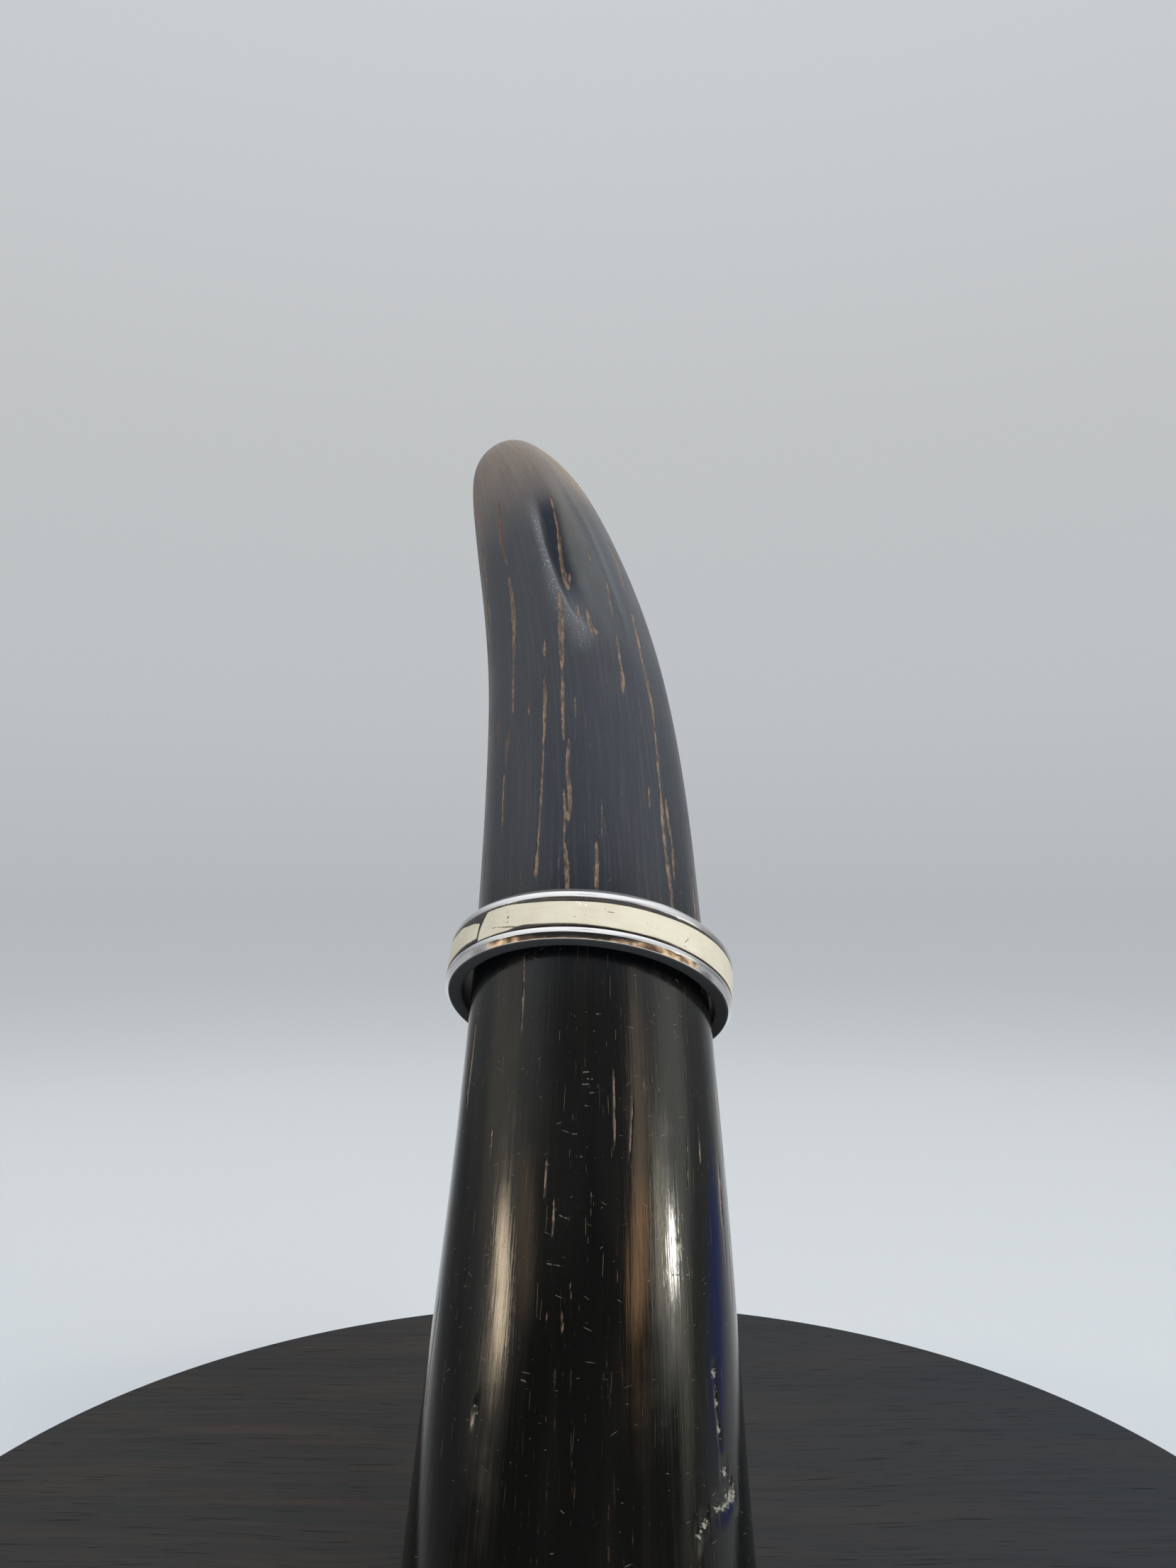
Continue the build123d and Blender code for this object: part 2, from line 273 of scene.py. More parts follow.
# Glows that the polished pieces mirror: azimuth from the viewer's side, rise, half width and half height
# in degrees, then strength and colour
SPOTS = [
    ((-80, 15, 30, 10), 0.75, (0.90, 0.84, 0.72)),
    ((-52, 21, 11, 4), 0.9, (1.3, 1.0, 0.7)),
    ((76, 16, 27, 13), 0.85, (1.35, 1.35, 1.22)),
    ((71, 7, 15, 8), 0.85, (2.0, 1.95, 1.6)),
    ((60, 17.0, 6, 5), 0.9, (5.5, 5.1, 3.9)),
    ((46, 27, 8, 8), 0.9, (1.9, 1.55, 1.2)),
    ((42.5, 20.7, 10, 4), 0.95, (4.6, 2.7, 1.4)),
    ((114, -5, 18, 6), 0.9, (0.12, 0.18, 0.62)),
    ((-5, 59, 12, 4), 0.8, (0.25, 0.25, 0.25)),
    ((-89, -23, 10, 12), 0.7, (0.22, 0.21, 0.20)),
    ((90, -34, 10, 10), 0.75, (0.16, 0.16, 0.17)),
]

# The crest beside the dent near the tip, in the fibres' coordinates
DENT_CREST = [(90.0, -5.0), (88.4, -4.5), (85.2, -5.5), (81.3, -3.7), (78.4, 0.5), (76.5, 6.2)]
# The soft edge that runs down the horn's right from its tip
SOFT_EDGE = [(96.7, 26.3), (93.0, 25.5), (89.9, 27.8), (86.4, 31.0), (82.7, 32.3), (79.1, 33.0), (74.0, 35.0)]
# The dent's top, deepest place and foot along the horn
DENT_TOP = 91.5
DENT_DEEPEST = 84.0
DENT_FOOT = 74.5

# Second tones that the finishes mix into their main colours
TONES = {
    "scratched metal": (0.45, 0.45, 0.46, 1),
    "bone rim": (0.55, 0.44, 0.28, 1),
    "bone crack": (0.10, 0.065, 0.04, 1),
    "bone speck": (0.20, 0.085, 0.02, 1),
    # Painted highlight on the bone
    "bone glint": (1, 1, 1, 1),
    "cloudy resin": (0.05, 0.03, 0.025, 1),
    "horn band": (0.025, 0.021, 0.017, 1),
    "horn line": (0.044, 0.046, 0.054, 1),
    # Painted sheen, a pale band right of the dent
    "horn haze": (0.125, 0.14, 0.145, 1),
    "tip band": (0.215, 0.175, 0.150, 1),
    "tan side of the tip": (0.27, 0.225, 0.175, 1),
    "tip streak": (0.105, 0.090, 0.080, 1),
    # Painted shade in the dent's core
    "dent": (0.006, 0.013, 0.030, 1),
    # Painted highlight along the dent's crest
    "crest": (0.34, 0.37, 0.42, 1),
    "low fibre bed": (0.008, 0.006, 0.005, 1),
    "high fibre bed": (0.034, 0.025, 0.021, 1),
    "dark fibre": (0.14, 0.085, 0.05, 1),
    "scratched horn": (0.40, 0.39, 0.36, 1),
    "wood grain": (0.044, 0.0415, 0.0405, 1),
    "broad wood grain": (0.058, 0.047, 0.041, 1),
    "cool wood": (0.032, 0.038, 0.046, 1),
    "wood pore": (0.006, 0.005, 0.005, 1),
    "steel line": (0.36, 0.36, 0.37, 1),
    "dim viewer": (0.15, 0.145, 0.15, 1),
    "brown patch": (0.16, 0.09, 0.06, 1),
    "golden patch": (1.25, 0.90, 0.56, 1),
    "shade": (0.03, 0.028, 0.027, 1),
}

# The backdrop that the camera sees: sine of the rise, then red, green and blue
BACKDROP = [
    (-0.28, 0.67, 0.715, 0.75),
    (-0.18, 0.63, 0.67, 0.70),
    (-0.06, 0.48, 0.505, 0.53),
    (0.0, 0.46, 0.485, 0.505),
    (0.17, 0.515, 0.535, 0.55),
    (0.38, 0.535, 0.55, 0.56),
    (0.64, 0.60, 0.62, 0.64),
]
# The room that the polished pieces mirror, a bright ceiling over dim walls: sine of the rise, brightness
ROOM = [
    (-0.60, 0.46),
    (-0.35, 0.50),
    (-0.20, 0.46),
    (-0.10, 0.34),
    (0.0, 0.26),
    (0.10, 0.28),
    (0.20, 0.36),
    (0.38, 0.55),
    (0.50, 0.82),
    (0.60, 0.98),
]


def length_property(name, description, millimetres):
    """A length that a user may change."""
    return FloatProperty(name=name, description=description, default=millimetres * MM, unit="LENGTH")


def angle_property(name, description, degrees):
    """An angle that a user may change."""
    return FloatProperty(name=name, description=description, default=math.radians(degrees), subtype="ANGLE")


def share_property(name, description, share):
    """A share that a user may change."""
    return FloatProperty(name=name, description=description, default=share, subtype="FACTOR")


def steps_property(name, description, steps):
    """A number of steps that a user may change."""
    return IntProperty(name=name, description=description, default=steps, min=24)


def power_property(name, description, watts):
    """A lamp's power that a user may change."""
    return FloatProperty(name=name, description=description, default=watts, unit="POWER")


def colour_property(name, description, colour):
    """A colour that a user may change."""
    return FloatVectorProperty(
        name=name, description=description, subtype="COLOR", size=4, min=0, max=1, default=(*colour, 1)
    )


class RingSizes(bpy.types.PropertyGroup):
    """Sizes of the metal band and of the channel for the inlay"""

    bore_radius: length_property("Bore radius", "Half the finger hole's diameter", 9.475)
    wall: length_property("Wall", "Thickness of the band", 1.37)
    width: length_property("Width", "Width of the band along its axis", 4)
    bevel_depth: length_property("Bevel depth", "How far the bevels go into the wall", 0.3)
    bevel_width: length_property("Bevel width", "Width of each bevel along the axis", 0.40)
    lower_land: length_property("Lower land", "Metal strip under the inlay", 0.38)
    upper_land: length_property("Upper land", "Metal strip over the inlay", 0.42)
    channel_depth: length_property("Channel depth", "Depth of the inlay's channel", 0.7)
    bore_rounding: length_property("Bore rounding", "Rounding of the bore's rims", 0.2)
    edge_rounding: length_property("Edge rounding", "Polished rounding of the other edges", 0.045)
    land_crown: length_property("Land crown", "How much the polished lands bulge", 0.015)
    segments: steps_property("Segments", "Steps around the band", 720)


class InlaySizes(bpy.types.PropertyGroup):
    """Sizes of the bone plates and of the resin round them"""

    bone_thickness: length_property("Bone thickness", "Thickness of the plates", 0.5)
    bone_rounding: length_property("Bone rounding", "Rounding of the plates' outer edges", 0.07)
    resin_sink: length_property("Resin sink", "How far the resin has shrunk below the metal", 0.025)
    long_end_angle: angle_property("Long plate's end", "Where the long plate starts", -49.9)
    long_end_reach: length_property("Long plate's slant", "How far its end leans along the band", 0.84)
    long_end_bow: share_property("Long plate's bow", "Reach of its end at mid height", 0.17)
    short_end_angle: angle_property("Short plate's end", "Where the short plate starts", -50.95)
    short_end_reach: length_property("Short plate's slant", "How far its end leans along the band", 0.25)
    short_end_bow: share_property("Short plate's bow", "Reach of its end at mid height", 0.4)
    hidden_seam: angle_property("Hidden seam", "Angle of the seam behind the horn", 152)
    seam_width: length_property("Seam width", "Width of the seam behind the horn", 0.15)


class HornSizes(bpy.types.PropertyGroup):
    """Sizes of the horn"""

    foot_width: length_property("Foot width", "Width of the horn where it stands", 24.5)
    length: length_property("Length", "Length of the horn's axis", 99.5)
    ovality: share_property("Ovality", "Depth of a section as a share of its width", 0.962)
    lean: angle_property("Lean", "Lean away from the viewer", 17.5)
    foot_forward: length_property("Foot forward", "How far the foot stands before the middle", 29.4)
    dent_depth: length_property("Dent depth", "Depth of the dent near the tip", 1.3)
    pin_hole_radius: length_property("Pin hole radius", "Radius of the hidden pin's hole", 2.55)
    pin_hole_depth: length_property("Pin hole depth", "Depth of that hole in the horn", 10.05)
    columns: steps_property("Columns", "Steps around the horn", 440)
    rows: steps_property("Rows", "Steps along the horn", 214)


class BaseSizes(bpy.types.PropertyGroup):
    """Sizes of the round wooden base"""

    radius: length_property("Radius", "Radius of the base", BASE_BOX[1].x / MM)
    thickness: length_property("Thickness", "Height of the base", BASE_BOX[1].z / MM)
    rim_rounding: length_property("Rim rounding", "Rounding of the upper rim", 1.5)
    foot_chamfer: length_property("Foot chamfer", "Chamfer of the lower rim", 0.8)
    pin_hole_depth: length_property("Pin hole depth", "Depth of the hidden pin's hole", 8.05)


class FinishColours(bpy.types.PropertyGroup):
    """Main colours of the finishes"""

    metal: colour_property("Metal", "Polished metal of the band", (0.72, 0.725, 0.73))
    # The dark of the bore and the ends is partly painted shade from the gap against the horn
    bore: colour_property("Bore", "Dull metal of the bore and the ends", (0.085, 0.086, 0.090))
    bone: colour_property("Bone", "Cream of the bone plates", (0.735, 0.715, 0.59))
    bone_shade: colour_property("Bone shade", "Duller cream between the grain", (0.665, 0.625, 0.50))
    resin: colour_property("Resin", "Dark resin round the bone", (0.013, 0.010, 0.010))
    horn_low: colour_property("Horn below", "Polished horn near its foot", (0.0040, 0.0044, 0.0040))
    # Partly painted sheen: the blue grey of the horn above the ring
    horn_high: colour_property("Horn above", "Duller horn above the ring", (0.0185, 0.026, 0.040))
    horn_tip: colour_property("Horn tip", "Grey brown horn at the tip", (0.20, 0.168, 0.148))
    fibre: colour_property("Fibre", "Tan of the open fibres", (0.315, 0.232, 0.168))
    red_fibre: colour_property("Red fibre", "Reddish brown of deeper fibres", (0.20, 0.105, 0.065))
    chip: colour_property("Chip", "Pale colour of chipped horn", (0.28, 0.27, 0.24))
    wood: colour_property("Wood", "Dark waxed wood of the base", (0.032, 0.034, 0.0355))
    steel: colour_property("Steel", "Steel of the hidden pin", (0.5, 0.5, 0.5))


class StudioSettings(bpy.types.PropertyGroup):
    """Floor, light and camera"""

    floor: colour_property("Floor", "Pale floor", (0.565, 0.61, 0.65))
    fill_power: power_property("Fill power", "Power of the soft fill from the viewer's side", 2.2)
    warm_power: power_property("Warm lamp", "Power of the warm lamp on the left", 0.30)
    white_power: power_property("White lamp", "Power of the white lamp on the right", 0.34)
    camera_place: FloatVectorProperty(
        name="Camera", description="Where the camera stands", subtype="TRANSLATION",
        default=(0, -105.36 * MM, 64.86 * MM),
    )
    camera_rise: angle_property("Camera rise", "How far the camera looks up", 6)
    lens: FloatProperty(
        name="Lens", description="Focal length for a 36 mm long side", default=27.05, unit="CAMERA"
    )


class Wire:
    """An output socket that Python's operators work on: each operation adds a node."""

    def __init__(self, nodes, socket):
        self.nodes = nodes
        self.socket = socket

    def __add__(self, other):
        if self.socket.type == "VECTOR":
            return self.nodes.vector("ADD", self, other)
        return self.nodes.math("ADD", self, other)

    def __radd__(self, other):
        return self.nodes.math("ADD", other, self)

    def __sub__(self, other):
        if self.socket.type == "VECTOR":
            return self.nodes.vector("SUBTRACT", self, other)
        return self.nodes.math("SUBTRACT", self, other)

    def __rsub__(self, other):
        return self.nodes.math("SUBTRACT", other, self)

    def __mul__(self, other):
        return self.nodes.math("MULTIPLY", self, other)

    def __rmul__(self, other):
        return self.nodes.math("MULTIPLY", other, self)

    def __truediv__(self, other):
        return self.nodes.math("DIVIDE", self, other)


class Nodes:
    """Adds nodes to one tree."""

    def __init__(self, tree):
        self.tree = tree
        tree.nodes.clear()

    def add(self, kind, settings=(), sockets=(), output=0):
        """One node: its type, its settings, then the values or links of its sockets."""
        node = self.tree.nodes.new(kind)
        for name, value in dict(settings).items():
            if name == "stops":
                ramp = node.color_ramp.elements
                while len(ramp) < len(value):
                    ramp.new(1)
                for element, (position, colour) in zip(ramp, value):
                    element.position = position
                    element.color = colour
            elif name == "item_count":
                while len(node.index_switch_items) < value:
                    node.index_switch_items.new()
            else:
                setattr(node, name, value)
        for name, value in dict(sockets).items():
            if isinstance(value, Wire):
                self.tree.links.new(value.socket, node.inputs[name])
            else:
                node.inputs[name].default_value = value
        return Wire(self, node.outputs[output]) if node.outputs else None

    def math(self, operation, first, second=0.0):
        return self.add("ShaderNodeMath", {"operation": operation}, {0: first, 1: second})

    def spread(self, value, low, high, to_low=0.0, to_high=1.0):
        """The value's smooth step from low to high."""
        return self.add(
            "ShaderNodeMapRange",
            {"interpolation_type": "SMOOTHSTEP"},
            {"Value": value, "From Min": low, "From Max": high, "To Min": to_low, "To Max": to_high},
        )

    def vector(self, operation, first, second=(0, 0, 0), output=0):
        return self.add("ShaderNodeVectorMath", {"operation": operation}, {0: first, 1: second}, output)

    def scaled(self, vector, factors):
        return self.vector("MULTIPLY", vector, factors)

    def split(self, vector):
        x = self.add("ShaderNodeSeparateXYZ", (), {"Vector": vector})
        node = x.socket.node
        return x, Wire(self, node.outputs["Y"]), Wire(self, node.outputs["Z"])

    def join(self, x, y, z):
        return self.add("ShaderNodeCombineXYZ", (), {"X": x, "Y": y, "Z": z})

    def mix(self, factor, first, second):
        """A colour from first to second as the factor goes from 0 to 1."""
        return self.add(
            "ShaderNodeMix",
            {"data_type": "RGBA", "clamp_factor": True},
            {0: factor, 6: first, 7: second},
            output=2,
        )

    def noise(self, vector, scale, detail=2.0, roughness=0.5):
        return self.add(
            "ShaderNodeTexNoise",
            (),
            {"Vector": vector, "Scale": scale, "Detail": detail, "Roughness": roughness},
        )

    def scattered(self, flat, density, slant, turn, half_lengths, half_width, share):
        """Short straight marks, one in each scattered cell of a share of the cells."""
        scale = (*density, 1.0)
        cell = self.add(
            "ShaderNodeTexVoronoi",
            {"voronoi_dimensions": "2D", "feature": "F1"},
            {"Vector": self.scaled(flat, scale), "Scale": 1.0, "Randomness": 1.0},
            "Position",
        )
        first, second, third = self.split(Wire(self, cell.socket.node.outputs["Color"]))
        offset = flat - self.scaled(cell, (1 / density[0], 1 / density[1], 1.0))
        x, y, _ = self.split(offset)
        angle = slant + (first - 0.5) * turn
        cosine, sine = self.math("COSINE", angle), self.math("SINE", angle)
        along = x * cosine + y * sine
        aside = y * cosine - x * sine
        shortest, longest = half_lengths
        half_length = shortest + second * second * (longest - shortest) + half_width
        reach = along * along / (half_length * half_length) + aside * aside / half_width**2
        return self.spread(reach, 1.0, 0.4) * self.spread(third, 1 - share, 1.0)

    def ramp(self, value, rows):
        """A colour from rows of a value from -1 to 1 and its red, green and blue."""
        stops = [((level + 1) / 2, (*colour, 1)) for level, *colour in rows]
        return self.add("ShaderNodeValToRGB", {"stops": stops}, {"Fac": value * 0.5 + 0.5})

    def bump(self, height):
        """A normal from a height in millimetres."""
        return self.add("ShaderNodeBump", (), {"Height": height, "Distance": MM, "Strength": 1})

    def attribute(self, name, output="Fac"):
        return self.add(
            "ShaderNodeAttribute", {"attribute_type": "GEOMETRY", "attribute_name": name}, (), output
        )

    def own_place(self):
        """The shaded point in the piece's own axes, which are the frame's, in metres."""
        return self.add("ShaderNodeTexCoord", (), (), "Object")

    def finish(self, **sockets):
        """The main shader and the tree's output. A socket's name has _ for its spaces."""
        named = {name.replace("_", " "): value for name, value in sockets.items()}
        shader = self.add("ShaderNodeBsdfPrincipled", (), named)
        self.add("ShaderNodeOutputMaterial", (), {"Surface": shader})


def new_material(name):
    """An empty material and its node adder."""
    material = bpy.data.materials.new(name)
    material.use_nodes = True
    return material, Nodes(material.node_tree)


def ring_matrix(width):
    """From the ring's own axes to the frame: x right, y back, z along its axis from its lower face."""
    lean = math.radians(RING_LEAN)
    side = math.radians(RING_SIDE_LEAN)
    axis = Vector((math.sin(side), math.cos(side) * math.sin(lean), math.cos(side) * math.cos(lean)))
    back = (Vector((0, 1, 0)) - axis * axis.y).normalized()
    right = back.cross(axis)
    turn = Matrix((right, back, axis)).transposed().to_4x4()
    middle = (RING_BOX[0] + RING_BOX[1]) / 2
    return Matrix.Translation(middle - axis * width / 2) @ turn


def ring_millimetres(nodes, sizes):
    """The shaded point in the ring's own axes, in millimetres."""
    inverse = ring_matrix(sizes.width).inverted()
    return nodes.add(
        "ShaderNodeMapping",
        {"vector_type": "POINT"},
        {
            "Vector": nodes.own_place(),
            "Location": inverse.translation / MM,
            "Rotation": inverse.to_euler("XYZ"),
            "Scale": (1 / MM,) * 3,
        },
    )


def metal_material(colours, sizes):
    """Polished metal with fine lines round the band and soft waves, and a matt dark bore and ends, whose dark
    is partly painted shade from the gap against the horn.
    """
    material, nodes = new_material("polished_metal")
    place = ring_millimetres(nodes, sizes)
    x, y, z = nodes.split(place)
    radius = nodes.vector("LENGTH", nodes.join(x, y, 0.0), output="Value")
    lines = nodes.noise(nodes.join(x * 0.10, y * 0.10, z + radius), 9.0, 3.0, 0.6)
    waves = nodes.noise(nodes.scaled(place, (0.35, 0.35, 1.2)), 1.1, 2.0)
    scratches = nodes.spread(nodes.noise(nodes.join(x * 0.7, y * 0.7, z * 5.0), 2.6, 4.0, 0.7), 0.66, 0.70)
    bevel_start = (sizes.bore_radius + sizes.wall - sizes.bevel_depth) / MM
    # A matt dark bore and ends, whose dark is partly painted shade from the gap against the horn
    dull_and_shaded = nodes.spread(radius, bevel_start - 0.025, bevel_start - 0.105)
    tone = nodes.mix(scratches * 0.25, colours.metal, TONES["scratched metal"])
    nodes.finish(
        Base_Color=nodes.mix(dull_and_shaded, tone, colours.bore),
        Metallic=1.0 - dull_and_shaded * 0.9,
        Roughness=0.05 + lines * 0.06 + scratches * 0.10 + dull_and_shaded * 0.45,
        Normal=nodes.bump(lines * 0.002 + waves * 0.012 - scratches * 0.001),
    )
    return material


def bone_material(colours, sizes):
    """Cream bone with faint grain round the band, brown specks, hairline cracks and painted white highlights.
    """
    material, nodes = new_material("polished_bone")
    place = ring_millimetres(nodes, sizes)
    grain = nodes.noise(nodes.scaled(place, (0.35, 0.35, 5.0)), 1.6, 4.0, 0.6)
    clouds = nodes.noise(place, 0.45, 3.0, 0.55)
    fine = nodes.noise(place, 7.0, 3.0, 0.6)
    crack = nodes.spread(nodes.attribute("crack") + fine * 0.3, 0.48, 0.66)
    speck = nodes.spread(nodes.attribute("speck") + fine * 0.45, 0.60, 0.78)
    glint = nodes.spread(nodes.attribute("glint"), 0.45, 0.6)
    rim = nodes.spread(nodes.attribute("rim"), 0.25, 1.0)
    tone = nodes.mix(nodes.spread(grain * 0.5 + clouds * 0.6, 0.42, 0.75), colours.bone, colours.bone_shade)
    tone = nodes.mix(rim * 0.35, tone, TONES["bone rim"])
    tone = nodes.mix(crack * 0.8, tone, TONES["bone crack"])
    tone = nodes.mix(speck * 0.95, tone, TONES["bone speck"])
    # Painted highlights turn the bone white at the glints
    tone = nodes.mix(glint, tone, TONES["bone glint"])
    nodes.finish(
        Base_Color=tone,
        Roughness=0.36 + grain * 0.14,
        Normal=nodes.bump(grain * 0.002 - crack * 0.012 - speck * 0.015 + fine * 0.0006),
        Coat_Weight=0.25,
        Coat_Roughness=0.18,
    )
    return material


def resin_material(colours, sizes):
    """Near black polished resin with tiny pits."""
    material, nodes = new_material("dark_resin")
    place = ring_millimetres(nodes, sizes)
    clouds = nodes.noise(place, 1.4, 3.0)
    pits = nodes.spread(nodes.noise(place, 9.0, 2.0), 0.66, 0.74)
    nodes.finish(
        Base_Color=nodes.mix(nodes.spread(clouds, 0.45, 0.7) * 0.6, colours.resin, TONES["cloudy resin"]),
        Roughness=0.16 + clouds * 0.12 + pits * 0.3,
        Normal=nodes.bump(clouds * 0.004 - pits * 0.006),
    )
    return material


def horn_strokes(nodes, across, along):
    """The strokes of the table, as a value that is 1 on them."""
    total = 0.0
    for middle, level, half_length, slope in HORN_STROKES:
        offset = across - middle
        over = along - level - offset * slope
        thin = nodes.spread(over * over, 0.0016, 0.0003)
        total = total + thin * nodes.spread(offset * offset, half_length**2, 0.5 * half_length**2)
    return total


def horn_material(colours):
    """Polished dark horn: fine lines along it, open tan fibres, scratches, and a paler tip. Painted light: a
    blue grey sheen above the ring and a pale one right of the dent, a gleam with glints by the dent, and
    shade in the dent and just above the ring.
    """
    material, nodes = new_material("polished_horn")
    spread, mix = nodes.spread, nodes.mix
    straight = nodes.attribute("straight", "Vector")
    across, depth, along = nodes.split(straight)

    def drawn_out(share, scale, detail, roughness):
        """Noise that is drawn out along the horn."""
        return nodes.noise(nodes.scaled(straight, (1, 1, share)), scale, detail, roughness)

    lines = drawn_out(0.03, 3.6, 4.0, 0.65)
    hairs = drawn_out(0.02, 10.0, 3.0, 0.6)
    bands = drawn_out(0.10, 0.45, 3.0, 0.55)
    flecks = drawn_out(0.22, 6.0, 3.0, 0.7)
    clouds = nodes.noise(straight, 0.30, 3.0, 0.6)
    grit = nodes.noise(straight, 5.5, 2.0, 0.6)
    # The change starts above the ring's seat, so the horn just above the ring stays dark as painted shade
    above = spread(along, 45.0, 61.0)

    # Open fibres are rows of tan flecks in a darker bed. Faint ones run everywhere
    near_fibre = nodes.attribute("fibre")
    bed = spread(near_fibre, 0.0, 0.6)
    breaks = spread(nodes.noise(nodes.scaled(straight, (0.6, 0.6, 0.30)), 3.2, 2.0), 0.40, 0.58)
    fibre = spread(flecks + spread(near_fibre, 0.0, 0.55) * 0.42, 0.72, 0.98) * (0.40 + breaks * 0.60)
    faint = spread(drawn_out(0.04, 5.0, 2.0, 0.5) * 0.6 + flecks * 0.4, 0.61, 0.70)
    ragged = (nodes.noise(straight, 3.6, 4.0, 0.75) - 0.5) * 2.6
    chip = spread(nodes.attribute("chip") + ragged, 0.66, 0.80)

    # Scratches: dashes along the horn that end above its foot, small nicks mostly across it, and strokes
    flat = nodes.join(nodes.math("ARCTAN2", across, depth * -1.0) * BARREL, along, 0.0)
    dashes = nodes.scattered(flat, (2.4, 0.40), 0.5 * math.pi, 0.10, (0.10, 1.4), 0.013, 0.32)
    beside = flat + nodes.join(40.0, 0.0, 0.0)
    nicks = nodes.scattered(beside, (1.2, 1.6), 0.0, 1.6, (0.0, 0.30), 0.017, 0.25)
    strokes = horn_strokes(nodes, across, along) * spread(grit, 0.36, 0.56)

    # The plain horn, duller above the ring, where its blue grey is partly a painted sheen and its dark just
    # above the ring is painted shade
    dent = nodes.attribute("dent")
    crest = nodes.attribute("crest")
    # Grains that add painted glints to the crest's colour and bumps to it
    grains_and_painted_glints = spread(nodes.noise(straight, 5.0, 2.0, 0.8), 0.58, 0.64)
    tone = mix(above, colours.horn_low, colours.horn_high)
    tone = mix(spread(bands, 0.50, 0.72) * 0.22, tone, TONES["horn band"])
    tone = mix(spread(lines, 0.46, 0.66) * above * 0.50, tone, TONES["horn line"])
    # Painted sheen: a pale grey band right of the dent
    tone = mix(nodes.attribute("haze") * 0.7, tone, TONES["horn haze"])

    # The tip
    tip = spread(along + clouds * 5.0 + (bands - 0.5) * 2.5 + nodes.attribute("pale") * 10.0, 88.0, 101.5)
    tip_tone = mix(spread(bands, 0.4, 0.6), colours.horn_tip, TONES["tip band"])
    tip_tone = mix(spread(across, 4.5, 7.5) * 0.8, tip_tone, TONES["tan side of the tip"])
    tip_tone = mix(spread(lines * 0.6 + grit * 0.5, 0.48, 0.66) * 0.40, tip_tone, TONES["tip streak"])
    tone = mix(tip * 0.95, tone, tip_tone)

    # The dent's painted shade, the painted gleam by the dent, the fibres and the marks over them
    # Painted shade: the dent's dark blue core
    tone = mix(dent * 0.8, tone, TONES["dent"])
    tone = mix(faint * (0.12 + above * 0.09), tone, colours.fibre)
    # Painted highlight: a pale gleam with glints along the dent's crest
    tone = mix(crest * (0.22 + grains_and_painted_glints * 0.78), tone, TONES["crest"])
    tone = mix(bed * 0.7, tone, mix(above, TONES["low fibre bed"], TONES["high fibre bed"]))
    fibre_tone = mix(nodes.attribute("fibre_red"), colours.fibre, colours.red_fibre)
    fibre_tone = mix(spread(grit, 0.40, 0.65) * 0.55, fibre_tone, TONES["dark fibre"])
    tone = mix(fibre * 0.9, tone, fibre_tone)
    tone = mix(dashes * spread(along, 8.0, 34.0) * (0.50 - above * 0.20), tone, colours.fibre)
    tone = mix(nicks * (0.45 - above * 0.25) + strokes * 0.4, tone, TONES["scratched horn"])
    tone = mix(chip, tone, colours.chip)

    rubbed = spread(clouds * 0.7 + bands * 0.5, 0.55, 0.8)
    roughness = 0.10 + above * 0.20 + tip * 0.25 + rubbed * 0.08 + (lines - 0.5) * 0.16 + (hairs - 0.5) * 0.22
    roughness = roughness + (fibre * 0.35 + chip * 0.4 + dent * 0.4)
    height = lines * 0.0095 + hairs * 0.0045 - fibre * 0.008 - bed * 0.012
    height = height - strokes * 0.006 - dashes * 0.004 - nicks * 0.004
    height = height + grains_and_painted_glints * crest * 0.03 - chip * 0.03
    nodes.finish(
        Base_Color=tone, Roughness=nodes.math("MINIMUM", roughness, 0.85), Normal=nodes.bump(height)
    )
    return material


def wood_material(colours):
    """Dark waxed wood with its grain from side to side."""
    material, nodes = new_material("dark_waxed_wood")
    place = nodes.scaled(nodes.own_place(), (1 / MM,) * 3)
    bend = nodes.noise(nodes.scaled(place, (0.02, 0.05, 0.05)), 1.0, 2.0)
    x, y, z = nodes.split(place)
    flow = nodes.join(x * 0.035, y + bend * 9.0, z)
    grain = nodes.noise(flow, 1.1, 5.0, 0.65)
    broad = nodes.noise(nodes.scaled(flow, (1, 0.16, 0.16)), 0.9, 3.0)
    pores = nodes.spread(nodes.noise(nodes.scaled(flow, (3.2, 3.4, 3.4)), 1.5, 2.0), 0.62, 0.72)
    tone = nodes.mix(nodes.spread(grain, 0.35, 0.7), colours.wood, TONES["wood grain"])
    tone = nodes.mix(nodes.spread(broad, 0.45, 0.7) * 0.5, tone, TONES["broad wood grain"])
    tone = nodes.mix(nodes.spread(x, -20.0, 60.0) * 0.6, tone, TONES["cool wood"])
    tone = nodes.mix(pores * 0.6, tone, TONES["wood pore"])
    nodes.finish(
        Base_Color=tone,
        Roughness=0.68 + grain * 0.16 + pores * 0.1,
        Specular_IOR_Level=0.02,
        Normal=nodes.bump(grain * 0.02 - pores * 0.02),
    )
    return material


def steel_material(colours):
    """Brushed steel for the hidden pin."""
    material, nodes = new_material("brushed_steel")
    place = nodes.scaled(nodes.own_place(), (1 / MM,) * 3)
    lines = nodes.noise(nodes.scaled(place, (0.3, 0.3, 6.0)), 2.0, 3.0)
    nodes.finish(
        Base_Color=nodes.mix(lines * 0.4, colours.steel, TONES["steel line"]),
        Metallic=1.0,
        Roughness=0.28 + lines * 0.15,
        Normal=nodes.bump(lines * 0.003),
    )
    return material


